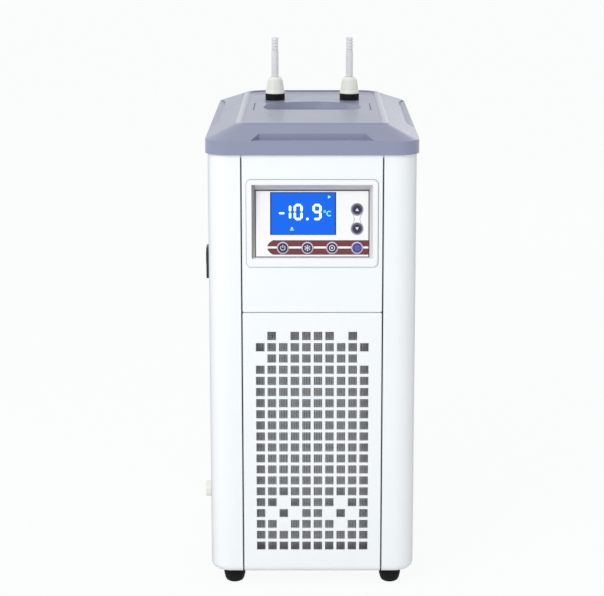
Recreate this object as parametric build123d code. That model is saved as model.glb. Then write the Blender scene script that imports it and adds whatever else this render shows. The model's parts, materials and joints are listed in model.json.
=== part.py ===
"""Recirculating chiller: a slim floor cabinet with a control panel over a square-hole grille.

Units are millimetres. The origin is the centre of the footprint on the floor. +X is to the right seen
from the front, the front faces -Y and +Z is up.
"""
from build123d import *
import os
from math import cos, radians, sin, tan

# Cabinet
BODY_WIDTH = 215.0
BODY_DEPTH = 395.0
BODY_TOP = 463.0
SHEET = 2.0
CORNER_R = 22.0
BOTTOM_R = 8.0
LIP = 8.0
SEAM_X = 72.75
SEAM_GAP = 1.6
SPLIT_Z = 299.0
SPLIT_GAP = 0.8
SPLIT_CORNER_R = 1.5
FIT = 0.2
SEAT = 0.3
PLATE = 1.5

# Feet
FOOT_HEIGHT = 16.0
FOOT_TOP_R = 11.4
FOOT_BOTTOM_R = 9.35
FOOT_EDGE_R = 2.5
FOOT_FROM_SIDE = 24.5
FOOT_INSET = 23.0
FOOT_SPIGOT_R = 6.0
FOOT_SCREW_R = 2.0

# Top cover
LID_OVERHANG = 2.5
LID_CORNER_R = 24.0
LID_WALL = 4.0
LID_SKIRT = 14.0
LID_RISE = 14.0
LID_INSET = 31.0
REAR_BEVEL = 16.0
PLATEAU_R = 8.0
PLATEAU_REAR_R = 22.0
LID_SHELL = 3.2
SCOOP_HALF_WIDTH = 67.0
SCOOP_TAPER = 12.5
SCOOP_DEPTH = 14.0
LEDGE_WIDTH = 9.0
LEDGE_FRONT = 110.0
LEDGE_REAR = 360.0
LEDGE_FRONT_FLARE = 14.0
LEDGE_REAR_FLARE = 40.0
LEDGE_RISE = 0.5
HAND_CHORD = 95.0
HAND_FRONT = 157.0
HAND_LENGTH = 79.0
HAND_DROP = 15.0
LID_BOSS_R = 6.0
LID_SCREW_R = 2.0

# Hose connections
NOZZLE_X = 42.2
NOZZLE_FROM_FRONT = 255.5
SPIGOT_R = 8.0
SPIGOT_BORE = 3.0
SPIGOT_FLANGE_R = 12.0
SPIGOT_FLANGE = 2.0
SPIGOT_DROP = 28.0
SPIGOT_NECK_R = 6.0
SPIGOT_NECK = 8.0
RING_R = 11.0
RING_HEIGHT = 7.5
NUT_BASE_R = 10.9
NUT_BODY_R = 9.9
NUT_SHOULDER_R = 8.2
NUT_TOP_R = 6.9
NUT_HEIGHT = 18.6
TAIL_R = 4.0
TAIL_SEAT_R = 4.7
TAIL_FLANGE_R = 5.7
TAIL_BORE = 2.6
TAIL_ABOVE_NUT = 44.4
TAIL_SHANK = 30.0
BARB_COUNT = 4
BARB_PITCH = 3.6
BARB_DEPTH = 0.9
BARB_TIP_R = 2.9

# Display bezel and keys
BEZEL_WIDTH = 134.8
BEZEL_BOTTOM = 347.1
BEZEL_TOP = 437.5
BEZEL_CORNER = 5.0
BEZEL_RAISE = 2.0
POCKET_WIDTH = 124.3
POCKET_BOTTOM = 355.8
POCKET_TOP = 432.6
POCKET_SIDE_DRAFT = 3.0
POCKET_TOP_DRAFT = 5.0
POCKET_FLOOR = 2.4
PANEL_TILT = 7.0
OVERLAY = 0.6
OVERLAY_HALF_WIDTH = 58.6
OVERLAY_LOW = 1.2
OVERLAY_HIGH = 70.6
LCD_LEFT = -43.2
LCD_RIGHT = 24.6
LCD_LOW = 24.2
LCD_HIGH = 68.3
LCD_BORDER = 3.0
KEY_R = 6.0
KEY_ROW = 11.2
KEY_XS = (-30.2, -4.9, 20.4, 46.1)
KEY_NAMES = ("key_power", "key_cool", "key_circulate", "key_set")
ARROW_X = 46.1
ARROW_ROWS = (50.7, 30.9)
ARROW_NAMES = ("key_up", "key_down")
ARROW_R = 5.2
KEY_PROUD = 0.9
KEY_TRAVEL = 0.8
KEY_GAP = 0.3
KEY_FLANGE = 1.2
KEY_STEM = 0.9
DOME_R = 2.2
DOME = 0.9
DOME_GAP = 0.15
BOARD = 1.6
BOARD_HALF_WIDTH = 60.0
BOARD_HEIGHT = 72.0

# Grille
CELL = 9.0
PITCH = 12.0
COLUMNS = 10
ROWS = 20
TOP_ROW_Z = 274.0
CLOSED_TOP = {0: (0, 2, 7, 9), 2: (0, 9)}
DIAMONDS = {15: (2, 7), 16: (1, 3, 6, 8), 17: (2, 7)}

# Side fittings
SWITCH_FROM_FRONT = 62.5
SWITCH_Z = 341.0
SWITCH_HEIGHT = 33.0
SWITCH_WIDTH = 22.0
SWITCH_FRAME = 2.5
SWITCH_PROUD = 4.2
SWITCH_BODY = 24.0
SWITCH_WELL = 12.0
ROCKER_THROW = 18.0
ROCKER_PROUD = 0.4
ROCKER_FACE = 11.0
ROCKER_DEPTH = 3.0
PIVOT_R = 1.5
PIVOT_RUNNING = 0.1
DRAIN_FROM_FRONT = 62.5
DRAIN_Z = 90.0
DRAIN_R = 8.8
DRAIN_PROUD = 8.0
DRAIN_NECK_R = 5.0
DRAIN_BORE = 2.2
DRAIN_FLANGE = 1.5
DRAIN_GRIPS = 8

# Back panel
SOCKET_X = -38.0
SOCKET_Z = 60.0
SOCKET_WIDTH = 27.0
SOCKET_HEIGHT = 20.0
SOCKET_WALL = 2.0
SOCKET_DEPTH = 22.0
SOCKET_FLANGE_X = 50.0
SOCKET_FLANGE = 3.0
PIN_HALF_HEIGHT = 2.0
VENT_ROWS = 18
VENT_PITCH = 12.0
VENT_WIDTH = 50.0
VENT_HEIGHT = 5.0
VENT_LOW_Z = 120.0
REAR_SCREW_ZS = (40.0, 240.0, 440.0)
SCREW_HEAD_R = 3.6
SCREW_HEAD = 1.8
SCREW_R = 1.6

# Frame
POST = 12.0
POST_SHEET = 1.5
POST_INSET = 16.0
TOP_RAIL = 3.0
TOP_RAIL_WIDTH = 25.3

# Condenser and fan
CORE_SIDE_ROOM = 44.5
CORE_LOW = 34.0
CORE_HIGH = 284.0
CORE_FROM_PANEL = 10.0
FIN_COUNT = 37
FIN = 0.6
FIN_DEPTH = 11.0
TUBE_R = 4.0
TUBE_PASSES = 8
BRAZE = 0.1
END_PLATE = 1.5
SHROUD = 1.5
ORIFICE_R = 61.0
ORIFICE_LENGTH = 22.0
FAN_Z = 159.0
FAN_R = 58.0
FAN_HUB_R = 20.0
FAN_BLADES = 5
FAN_BLADE = 1.6
FAN_DEPTH = 18.0
FAN_SHAFT_R = 3.0
RUNNING = 0.08
SHAFT_GRIP = 8.0
MOTOR_R = 32.0
MOTOR_LENGTH = 48.0

# Cooling plant
CAN_R = 56.0
CAN_HEIGHT = 140.0
CAN_FROM_BACK = 79.5
CAN_FEET_X = 80.0
CAN_FEET_Y = 52.0
GROMMET_H = 10.0
GROMMET_R = 10.0
SHELF_Z = 214.0
SHELF = 1.5
SHELF_BEHIND_CORE = 65.3
TANK_STAND = 1.5
TANK_WIDTH = 150.0
TANK_DEPTH = 130.0
TANK_HEIGHT = 140.0
TANK_WALL = 1.0
TANK_R = 12.0
TANK_Z = 300.0
PUMP_X = 40.0
PUMP_AHEAD_OF_TANK = 12.0
VOLUTE_R = 34.0
VOLUTE_DEPTH = 26.0
VOLUTE_WALL = 3.0
IMPELLER_R = 24.0
EXCHANGER_WIDTH = 34.0
EXCHANGER_DEPTH = 76.0
EXCHANGER_HEIGHT = 80.0
DRIER_FROM_SIDE = 21.5
DRIER_Y = -60.0

FRONT_Y = -BODY_DEPTH / 2
BACK_Y = BODY_DEPTH / 2
SIDE_X = BODY_WIDTH / 2
LID_RIM_Z = BODY_TOP
LID_EDGE_Z = LID_RIM_Z + LID_SKIRT
PLATEAU_Z = LID_EDGE_Z + LID_RISE
LID_WIDTH = BODY_WIDTH + 2 * LID_OVERHANG
LID_DEPTH = BODY_DEPTH + 2 * LID_OVERHANG
NOZZLE_Y = FRONT_Y + NOZZLE_FROM_FRONT
BASE_HALF_X = SIDE_X - BOTTOM_R - 1.0
BASE_HALF_Y = BACK_Y - BOTTOM_R - 1.0
BASE_Z = FOOT_HEIGHT + SHEET
FLOOR_Z = BASE_Z + PLATE
FRAME_TOP = BODY_TOP - 0.2
FRAME_HALF_X = SIDE_X - SHEET - FIT
FRAME_HALF_Y = BACK_Y - SHEET - FIT
LID_UNDER_Z = PLATEAU_Z - LID_SHELL
RING_TOP_Z = PLATEAU_Z + RING_HEIGHT
NUT_TOP_Z = RING_TOP_Z + NUT_HEIGHT
TAIL_TOP_Z = NUT_TOP_Z + TAIL_ABOVE_NUT
KEY_UNDER = -POCKET_FLOOR - SEAT
KEY_STEM_END = KEY_UNDER - KEY_FLANGE - KEY_STEM
BOARD_TOP = KEY_STEM_END - KEY_TRAVEL - DOME_GAP - DOME
SWITCH_Y = FRONT_Y + SWITCH_FROM_FRONT
PIVOT_X = -SIDE_X + 6.0 - SWITCH_PROUD
DRAIN_Y = FRONT_Y + DRAIN_FROM_FRONT
CORE_WIDTH = BODY_WIDTH - 2 * CORE_SIDE_ROOM
CORE_FRONT = FRONT_Y + SHEET + CORE_FROM_PANEL
TUBE_Y = CORE_FRONT + FIN_DEPTH + TUBE_R + BRAZE
CORE_BACK = TUBE_Y + TUBE_R + BRAZE + FIN_DEPTH
PASS_PITCH = (CORE_HIGH - CORE_LOW) / TUBE_PASSES
FAN_Y = CORE_BACK + SEAT + 3.0
ARM_Y = CORE_BACK + SEAT + ORIFICE_LENGTH
CAN_Y = BACK_Y - CAN_FROM_BACK
CAN_Z = FLOOR_Z + GROMMET_H + 2
POST_INNER_X = BASE_HALF_X - PLATE - FIT - POST_SHEET - FIT
SHELF_FRONT = CORE_BACK + SHELF_BEHIND_CORE
SHELF_TOP = SHELF_Z + SHELF
TANK_Y = NOZZLE_Y + 14.0
STAND_HALF = TANK_WIDTH / 2 + 6.0
PUMP_Y = TANK_Y - PUMP_AHEAD_OF_TANK
PUMP_Z = SHELF_TOP + VOLUTE_R
DRIER_X = -SIDE_X + DRIER_FROM_SIDE


def block(x, y, z):
    """A box between two limits on each axis."""
    size = [high - low for low, high in (x, y, z)]
    centre = [(high + low) / 2 for low, high in (x, y, z)]
    return Pos(*centre) * Box(*size)


def rod(radius, start, length, axis):
    """A cylinder that starts at a point and runs along an axis."""
    ends = (Align.CENTER, Align.CENTER, Align.MIN)
    return Plane(origin=start, z_dir=axis) * Cylinder(radius, length, align=ends)


def slab(width, depth, corner, z, height):
    """A rounded rectangle raised from z by a height."""
    return Pos(0, 0, z) * extrude(RectangleRounded(width, depth, corner), height)


def turned(points):
    """A solid of revolution about Z from an outline of (radius, z) points."""
    outline = make_face(Polyline(*[(r, 0, z) for r, z in points], close=True))
    return revolve(outline, Axis.Z)


def prism_x(points, half):
    """An outline of (y, z) points carried along X to both sides by half."""
    face = make_face(Polyline(*[(-half, y, z) for y, z in points], close=True))
    return extrude(face, 2 * half, dir=(1, 0, 0))


def prism_z(points, low, high):
    """An outline of (x, y) points carried up from low to high."""
    face = make_face(Polyline(*[(x, y, low) for x, y in points], close=True))
    return extrude(face, high - low, dir=(0, 0, 1))


def tube(points, radius, bend):
    """A round bar along straight runs joined by tangent bends."""
    path = FilletPolyline(*points, radius=bend)
    start = Plane(origin=path @ 0, z_dir=path % 0)
    return sweep(start * Circle(radius), path=path)


def pan_screw(place, axis, radius, length):
    """A pan-head screw: the seat of its head is at the place and its head points along the axis."""
    head = [(0, 0), (SCREW_HEAD_R, 0), (SCREW_HEAD_R, SCREW_HEAD * 0.4), (SCREW_HEAD_R * 0.6, SCREW_HEAD)]
    form = turned(head + [(0, SCREW_HEAD)]) + rod(radius, (0, 0, -length), length, (0, 0, 1))
    slot = block((-2.0, 2.0), (-0.5, 0.5), (SCREW_HEAD - 0.7, SCREW_HEAD + 1))
    return Plane(origin=place, x_dir=(1, 0, 0), z_dir=axis) * (form - slot)


def group(solids):
    """Separate solids of one kind held together as one node."""
    return Compound(children=[part.solid() for part in solids])


# The display panel leans back: v runs up along it and w stands out of it.
PANEL = Plane(
    origin=(0, FRONT_Y, POCKET_BOTTOM),
    x_dir=(1, 0, 0),
    z_dir=(0, -cos(radians(PANEL_TILT)), sin(radians(PANEL_TILT))),
)


def on_panel(low, high, x, v):
    """A box on the leaning panel, from low to high above its floor."""
    return PANEL * block(x, v, (low, high))


def key_rod(radius, x, v, low, high):
    """A cylinder square to the leaning panel."""
    return PANEL * rod(radius, (x, v, low), high - low, (0, 0, 1))


def key_places():
    """Name, x, v and radius of every key."""
    row = [(name, x, KEY_ROW, KEY_R) for name, x in zip(KEY_NAMES, KEY_XS)]
    return row + [(name, ARROW_X, v, ARROW_R) for name, v in zip(ARROW_NAMES, ARROW_ROWS)]


def cabinet_shell():
    """The whole painted skin as one ring, with the turned-in lip at its foot."""
    height = BODY_TOP - FOOT_HEIGHT
    outer = slab(BODY_WIDTH, BODY_DEPTH, CORNER_R, FOOT_HEIGHT, height)
    outer = fillet(outer.faces().sort_by(Axis.Z)[0].edges(), BOTTOM_R)
    width, depth = BODY_WIDTH - 2 * SHEET, BODY_DEPTH - 2 * SHEET
    inner = slab(width, depth, CORNER_R - SHEET, BASE_Z, height)
    inner = fillet(inner.faces().sort_by(Axis.Z)[0].edges(), BOTTOM_R - SHEET)
    mouth_x, mouth_y = SIDE_X - BOTTOM_R - LIP, BACK_Y - BOTTOM_R - LIP
    mouth = block((-mouth_x, mouth_x), (-mouth_y, mouth_y), (FOOT_HEIGHT - 1, BASE_Z + 1))
    return outer - inner - mouth


def side_cover(shell, side):
    """One wrap-round side cover; side is -1 for the left and 1 for the right."""
    inner, outer = SEAM_X + SEAM_GAP / 2, SIDE_X + 1
    reach = sorted((side * inner, side * outer))
    cover = shell & block(reach, (-BODY_DEPTH, BODY_DEPTH), (0, BODY_TOP + 1))
    if side < 0:
        cover -= switch_cutout()
        cover -= rod(DRAIN_R - 2.0, (-SIDE_X - 1, DRAIN_Y, DRAIN_Z), 10, (1, 0, 0))
    return cover


def middle_panel(shell, front, low, high):
    """The flat stretch of skin between the seams, at the front or the back."""
    inner = SEAM_X - SEAM_GAP / 2
    y = (-BODY_DEPTH, 0) if front else (0, BODY_DEPTH)
    return shell & block((-inner, inner), y, (low, high))


def upper_panel(shell):
    """Blank painted panel with the window that the display bezel drops into."""
    panel = middle_panel(shell, True, SPLIT_Z + SPLIT_GAP / 2, BODY_TOP + 1)
    panel = fillet(panel.edges().filter_by(Axis.Y).group_by(Axis.Z)[0], SPLIT_CORNER_R)
    half, low, high = bezel_body(FIT)
    return panel - block((-half, half), (FRONT_Y - 5, FRONT_Y + 10), (low, high))


def grille(shell):
    """Lower front panel punched with rows of square holes."""
    panel = middle_panel(shell, True, 0, SPLIT_Z - SPLIT_GAP / 2)
    panel = fillet(panel.edges().filter_by(Axis.Y).group_by(Axis.Z)[-1], SPLIT_CORNER_R)
    holes = []
    for row in range(ROWS):
        closed = CLOSED_TOP.get(row, ()) + DIAMONDS.get(row, ())
        for column in range(COLUMNS):
            if column in closed:
                continue
            x = (column - (COLUMNS - 1) / 2) * PITCH
            z = TOP_ROW_Z - row * PITCH
            across = (x - CELL / 2, x + CELL / 2)
            holes.append(block(across, (FRONT_Y - 1, FRONT_Y + SHEET + 1), (z - CELL / 2, z + CELL / 2)))
    return panel - holes


def rear_panel(shell):
    """Back panel with two columns of exhaust slots and the inlet cut-out."""
    panel = middle_panel(shell, False, 0, BODY_TOP + 1)
    wall = (BACK_Y - SHEET - 1, BACK_Y + 1)
    cuts = []
    for row in range(VENT_ROWS):
        z = VENT_LOW_Z + row * VENT_PITCH
        for side in (-1, 1):
            x = sorted((side * 7, side * (7 + VENT_WIDTH)))
            cuts.append(block(x, wall, (z, z + VENT_HEIGHT)))
    half_x = SOCKET_WIDTH / 2 + SOCKET_WALL + FIT
    half_z = SOCKET_HEIGHT / 2 + SOCKET_WALL + FIT
    cuts.append(block((SOCKET_X - half_x, SOCKET_X + half_x), wall, (SOCKET_Z - half_z, SOCKET_Z + half_z)))
    cuts += [rod(SCREW_R, (x, wall[0], z), 5, (0, 1, 0)) for x, z in rear_screw_places()]
    return panel - cuts


def rear_screw_places():
    """Centres of the screws that hold the back panel to the rear posts."""
    x = SEAM_X - 6.0
    return [(side * x, z) for side in (-1, 1) for z in REAR_SCREW_ZS]


def rear_screws():
    """Pan-head screws through the back panel."""
    places = rear_screw_places()
    return group([pan_screw((x, BACK_Y, z), (0, 1, 0), SCREW_R - FIT / 2, 8) for x, z in places])


def base_plate():
    """Folded floor tray that carries the plant and takes the foot screws."""
    tray = block((-BASE_HALF_X, BASE_HALF_X), (-BASE_HALF_Y, BASE_HALF_Y), (BASE_Z, FLOOR_Z + 13))
    tray = fillet(tray.edges().filter_by(Axis.Z), CORNER_R - BOTTOM_R)
    inside = block(
        (PLATE - BASE_HALF_X, BASE_HALF_X - PLATE),
        (PLATE - BASE_HALF_Y, BASE_HALF_Y - PLATE),
        (FLOOR_Z, FLOOR_Z + 20),
    )
    inside = fillet(inside.edges().filter_by(Axis.Z), CORNER_R - BOTTOM_R - PLATE)
    holes = [rod(FOOT_SCREW_R + FIT, (x, y, BASE_Z - 1), 5, (0, 0, 1)) for x, y in foot_places()]
    return tray - inside - holes


def foot_places():
    """Plan centres of the four feet, front pair first."""
    x, y = SIDE_X - FOOT_FROM_SIDE, BACK_Y - FOOT_INSET
    return [(side * x, end * y) for end in (-1, 1) for side in (-1, 1)]


def foot(x, y):
    """Tapered rubber foot with a recessed screw hole and a spigot up to the tray."""
    mid, edge = FOOT_HEIGHT * 0.55, FOOT_EDGE_R
    outline = [(0, 0), (FOOT_BOTTOM_R - edge, 0), (FOOT_BOTTOM_R - edge * 0.2, edge * 0.5)]
    outline += [(FOOT_BOTTOM_R + edge * 0.3, edge * 1.4), (FOOT_TOP_R, mid), (FOOT_TOP_R, FOOT_HEIGHT)]
    body = turned(outline + [(0, FOOT_HEIGHT)])
    body += rod(FOOT_SPIGOT_R, (0, 0, FOOT_HEIGHT), SHEET, (0, 0, 1))
    body -= rod(FOOT_SCREW_R + FIT, (0, 0, -1), 30, (0, 0, 1))
    body -= rod(FOOT_SPIGOT_R - 1, (0, 0, -1), 9, (0, 0, 1))
    return Pos(x, y, 0) * body


def foot_screws():
    """One pan-head screw up through each foot."""
    length = FLOOR_Z + 3 - 8
    return group([pan_screw((x, y, 8), (0, 0, -1), FOOT_SCREW_R, length) for x, y in foot_places()])


def frame_posts():
    """Four folded angle posts that stand on the tray and carry the top frame."""
    posts = []
    half_x, half_y = BASE_HALF_X - PLATE - FIT, BASE_HALF_Y - PLATE - FIT
    for sx in (-1, 1):
        for sy in (-1, 1):
            x_out, x_in = sx * half_x, sx * (half_x - POST)
            y_out, y_in = sy * (half_y - POST_INSET), sy * (half_y - POST_INSET - POST)
            z = (FLOOR_Z, FRAME_TOP - TOP_RAIL)
            wing_x = block(sorted((x_out, x_in)), sorted((y_out, y_out - sy * POST_SHEET)), z)
            wing_y = block(sorted((x_out, x_out - sx * POST_SHEET)), sorted((y_out, y_in)), z)
            posts.append(wing_x + wing_y)
    return group(posts)


def top_frame():
    """Flat ring inside the top edge of the covers, under the top cover."""
    ring = slab(2 * FRAME_HALF_X, 2 * FRAME_HALF_Y, CORNER_R - SHEET - FIT, FRAME_TOP - TOP_RAIL, TOP_RAIL)
    mouth_x, mouth_y = 2 * (FRAME_HALF_X - TOP_RAIL_WIDTH), 2 * (FRAME_HALF_Y - TOP_RAIL_WIDTH)
    ring -= slab(mouth_x, mouth_y, 6, FRAME_TOP - TOP_RAIL - 1, TOP_RAIL + 2)
    ring -= [rod(LID_SCREW_R + FIT, (x, y, FRAME_TOP - 10), 20, (0, 0, 1)) for x, y in lid_boss_places()]
    return ring


def lid_boss_places():
    """Plan centres of the four screw bosses under the top cover."""
    x, y = LID_WIDTH / 2 - LID_INSET + 6, LID_DEPTH / 2 - LID_INSET + 6
    return [(sx * x, sy * y) for sx in (-1, 1) for sy in (-1, 1)]


def hand_scoop(grow, drop):
    """The half-round scoop in the plateau; its floor falls from the chord to the rear wall."""
    front = FRONT_Y + HAND_FRONT - grow
    rear = FRONT_Y + HAND_FRONT + HAND_LENGTH + grow
    half = HAND_CHORD / 2 + grow
    arc = ThreePointArc((-half, front), (0, rear), (half, front))
    plan = make_face([arc, Line((half, front), (-half, front))])
    column = Pos(0, 0, PLATEAU_Z - 40) * extrude(plan, 60)
    wedge = [(front, PLATEAU_Z - drop), (rear, PLATEAU_Z - HAND_DROP - drop), (rear, PLATEAU_Z + 5)]
    return column & prism_x(wedge + [(front, PLATEAU_Z + 5)], half + 20)


def lid_form(shrink, low, drop):
    """Straight skirt topped by a bevel that rises to the plateau, longer at the back."""
    width, depth, corner = LID_WIDTH - 2 * shrink, LID_DEPTH - 2 * shrink, LID_CORNER_R - shrink
    edge, top = LID_EDGE_Z - drop, PLATEAU_Z - drop
    skirt = slab(width, depth, corner, low, edge - low)
    base = Pos(0, 0, edge) * RectangleRounded(width, depth, corner)
    roof = Rectangle(width - 2 * LID_INSET, depth - 2 * LID_INSET - REAR_BEVEL)
    roof = fillet(roof.vertices().group_by(Axis.Y)[0], PLATEAU_R - shrink)
    roof = fillet(roof.vertices().group_by(Axis.Y)[-1], PLATEAU_REAR_R - shrink)
    return skirt + loft([base, Pos(0, -REAR_BEVEL / 2, top) * roof], ruled=True)


def top_cover():
    """Moulded top cover with a finger notch in front, a ledge on each side and a hand scoop."""
    drop = LID_SHELL
    outer = lid_form(0, LID_RIM_Z, 0)
    inner = lid_form(LID_WALL, LID_RIM_Z - 1, drop)
    notch_floor = LID_EDGE_Z + LEDGE_RISE
    edge_y = -LID_DEPTH / 2
    half, back = SCOOP_HALF_WIDTH, edge_y + SCOOP_DEPTH
    notch = [(-half, edge_y), (half, edge_y), (half - SCOOP_TAPER, back), (SCOOP_TAPER - half, back)]
    notch_cut = prism_z([(x, y if y > edge_y else y - 5) for x, y in notch], notch_floor, PLATEAU_Z + 5)
    pad = block((-half, half), (edge_y + LID_WALL, back + drop), (notch_floor - drop, PLATEAU_Z))
    cuts = [notch_cut]
    for side in (-1, 1):
        edge_x = side * LID_WIDTH / 2
        inner_x, flare_x = edge_x - side * LEDGE_WIDTH, edge_x - side * (LEDGE_WIDTH - 5)
        front, rear = FRONT_Y + LEDGE_FRONT, FRONT_Y + LEDGE_REAR
        plan = [
            (edge_x + side * 5, front),
            (flare_x, front),
            (inner_x, front + LEDGE_FRONT_FLARE),
            (inner_x, rear - LEDGE_REAR_FLARE),
            (flare_x, rear),
            (edge_x + side * 5, rear),
        ]
        cuts.append(prism_z(plan, notch_floor, PLATEAU_Z + 5))
    holes = [rod(SPIGOT_R + FIT, (sx * NOZZLE_X, NOZZLE_Y, LID_RIM_Z), 60, (0, 0, 1)) for sx in (-1, 1)]
    bosses = [rod(LID_BOSS_R, (x, y, LID_RIM_Z), LID_SKIRT + 10, (0, 0, 1)) for x, y in lid_boss_places()]
    pilots = [rod(LID_SCREW_R, (x, y, LID_RIM_Z - 1), 12, (0, 0, 1)) for x, y in lid_boss_places()]
    body = outer - inner
    body += [(pad & outer).solid(), (hand_scoop(drop, drop) & outer).solid()]
    body += [(boss & outer).solid() for boss in bosses]
    return (body - cuts - hand_scoop(0, 0) - holes - pilots).solid()


def lid_screws():
    """Screws up through the top frame into the bosses of the top cover."""
    under, radius = FRAME_TOP - TOP_RAIL, LID_SCREW_R - FIT / 2
    return group([pan_screw((x, y, under), (0, 0, -1), radius, 12) for x, y in lid_boss_places()])


def spigot(x):
    """Bulkhead fitting clamped through the top cover, with a hose spigot below."""
    points = [
        (SPIGOT_BORE, LID_UNDER_Z - SPIGOT_DROP),
        (5.0, LID_UNDER_Z - SPIGOT_DROP),
        (5.0, LID_UNDER_Z - SPIGOT_FLANGE),
        (SPIGOT_FLANGE_R, LID_UNDER_Z - SPIGOT_FLANGE),
        (SPIGOT_FLANGE_R, LID_UNDER_Z),
        (SPIGOT_R, LID_UNDER_Z),
        (SPIGOT_R, RING_TOP_Z),
        (SPIGOT_NECK_R, RING_TOP_Z),
        (SPIGOT_NECK_R, RING_TOP_Z + SPIGOT_NECK),
        (SPIGOT_BORE, RING_TOP_Z + SPIGOT_NECK),
    ]
    return Pos(x, NOZZLE_Y, 0) * turned(points)


def seal_ring(x):
    """Black sealing ring between the plateau and the nut."""
    inner = SPIGOT_R + FIT
    points = [(inner, PLATEAU_Z), (RING_R, PLATEAU_Z), (RING_R, RING_TOP_Z - 0.6), (RING_R - 0.6, RING_TOP_Z)]
    return Pos(x, NOZZLE_Y, 0) * turned(points + [(inner, RING_TOP_Z)])


def hose_nut(x):
    """Conical union nut that holds the hose tail on the spigot."""
    low, high = RING_TOP_Z, NUT_TOP_Z
    bore, collar = TAIL_SEAT_R + FIT, SPIGOT_NECK_R + FIT
    shelf = low + SPIGOT_NECK + 3 + FIT
    points = [(collar, low), (NUT_BASE_R, low), (NUT_BASE_R, low + 1.6), (NUT_BODY_R, low + 4)]
    points += [(NUT_SHOULDER_R, high - 3), (NUT_TOP_R, high - 0.8), (NUT_TOP_R - 0.9, high)]
    points += [(bore, high), (bore, shelf), (collar, shelf)]
    return Pos(x, NOZZLE_Y, 0) * turned(points)


def hose_tail(x):
    """Clear barbed tail: a plain shank, then tapered barbs cut into the rod, then a pointed end."""
    low = RING_TOP_Z + SPIGOT_NECK
    first = NUT_TOP_Z + TAIL_SHANK
    points = [(TAIL_BORE, low), (TAIL_FLANGE_R, low), (TAIL_FLANGE_R, low + 3), (TAIL_SEAT_R, low + 3)]
    points += [(TAIL_SEAT_R, NUT_TOP_Z), (TAIL_R, NUT_TOP_Z), (TAIL_R, first)]
    for barb in range(BARB_COUNT):
        z = first + barb * BARB_PITCH
        points += [(TAIL_R - BARB_DEPTH, z), (TAIL_R - BARB_DEPTH, z + 0.8), (TAIL_R, z + 1.2)]
        points += [(TAIL_R - 0.5 * BARB_DEPTH, z + BARB_PITCH)]
    points += [(BARB_TIP_R, TAIL_TOP_Z), (TAIL_BORE - 0.3, TAIL_TOP_Z), (TAIL_BORE, TAIL_TOP_Z - 2)]
    return Pos(x, NOZZLE_Y, 0) * turned(points)


def bezel_body(grow):
    """Half width and z limits of the bezel's body where it passes through the upper panel."""
    return POCKET_WIDTH / 2 + 3 + grow, POCKET_BOTTOM - 3 - grow, POCKET_TOP + 2.5 + grow


def bezel():
    """Raised frame round a drafted pocket whose floor leans back; windows for the display and keys."""
    centre_z = (BEZEL_BOTTOM + BEZEL_TOP) / 2
    face = Plane(origin=(0, FRONT_Y, centre_z), x_dir=(1, 0, 0), z_dir=(0, -1, 0))
    frame = extrude(face * RectangleRounded(BEZEL_WIDTH, BEZEL_TOP - BEZEL_BOTTOM, BEZEL_CORNER), BEZEL_RAISE)
    frame = fillet(frame.faces().sort_by(Axis.Y)[0].edges(), 0.9)
    lean = tan(radians(PANEL_TILT))
    half, low, high = bezel_body(0)
    floor = POCKET_FLOOR / cos(radians(PANEL_TILT))
    under_low = FRONT_Y + (low - POCKET_BOTTOM) * lean + floor
    under_high = FRONT_Y + (high - POCKET_BOTTOM) * lean + floor
    body = prism_x([(FRONT_Y, low), (under_low, low), (under_high, high), (FRONT_Y, high)], half)
    mouth = FRONT_Y - BEZEL_RAISE
    top_z = POCKET_TOP - POCKET_TOP_DRAFT
    deep = FRONT_Y + (top_z - POCKET_BOTTOM) * lean
    side = [(mouth - 1, POCKET_BOTTOM), (FRONT_Y, POCKET_BOTTOM), (deep, top_z), (mouth, POCKET_TOP)]
    wide, narrow = POCKET_WIDTH / 2, POCKET_WIDTH / 2 - POCKET_SIDE_DRAFT
    plan = [(-wide, mouth - 1), (wide, mouth - 1), (wide, mouth), (narrow, deep), (narrow, deep + 5)]
    plan += [(-narrow, deep + 5), (-narrow, deep), (-wide, mouth)]
    pocket = prism_x(side + [(mouth - 1, POCKET_TOP)], wide + 5) & prism_z(plan, low, high)
    windows = [on_panel(-20, 1, (LCD_LEFT, LCD_RIGHT), (LCD_LOW, LCD_HIGH))]
    windows += [key_rod(r + KEY_GAP, x, v, -20, 1) for _, x, v, r in key_places()]
    return (frame + body - pocket - windows).solid()


def overlay():
    """Printed front foil of the panel, with openings for the display and the keys."""
    foil = on_panel(0, OVERLAY, (-OVERLAY_HALF_WIDTH, OVERLAY_HALF_WIDTH), (OVERLAY_LOW, OVERLAY_HIGH))
    foil -= on_panel(-1, 2, (LCD_LEFT, LCD_RIGHT), (LCD_LOW, LCD_HIGH))
    foil -= [key_rod(r + KEY_GAP, x, v, -1, 2) for _, x, v, r in key_places()]
    return foil


def key(x, v, radius):
    """Round key cap with a domed edge on a stem, kept in by a flange behind the panel."""
    top, under, back = OVERLAY + KEY_PROUD, KEY_UNDER, KEY_UNDER - KEY_FLANGE
    outline = [(0, KEY_STEM_END), (1.5, KEY_STEM_END), (1.5, back), (radius + 1.5, back)]
    outline += [(radius + 1.5, under), (radius, under), (radius, top - 0.5), (radius - 0.5, top), (0, top)]
    return PANEL * (Pos(x, v, 0) * turned(outline))


def lcd():
    """Liquid-crystal module that fills the window from behind."""
    x, v = (LCD_LEFT + FIT, LCD_RIGHT - FIT), (LCD_LOW + FIT, LCD_HIGH - FIT)
    border_x = (LCD_LEFT - LCD_BORDER, LCD_RIGHT + LCD_BORDER)
    border_v = (LCD_LOW - LCD_BORDER, LCD_HIGH + 1.5)
    glass = on_panel(-POCKET_FLOOR - 1, FIT, x, v)
    return glass + on_panel(BOARD_TOP, -POCKET_FLOOR - FIT, border_x, border_v)


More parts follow.
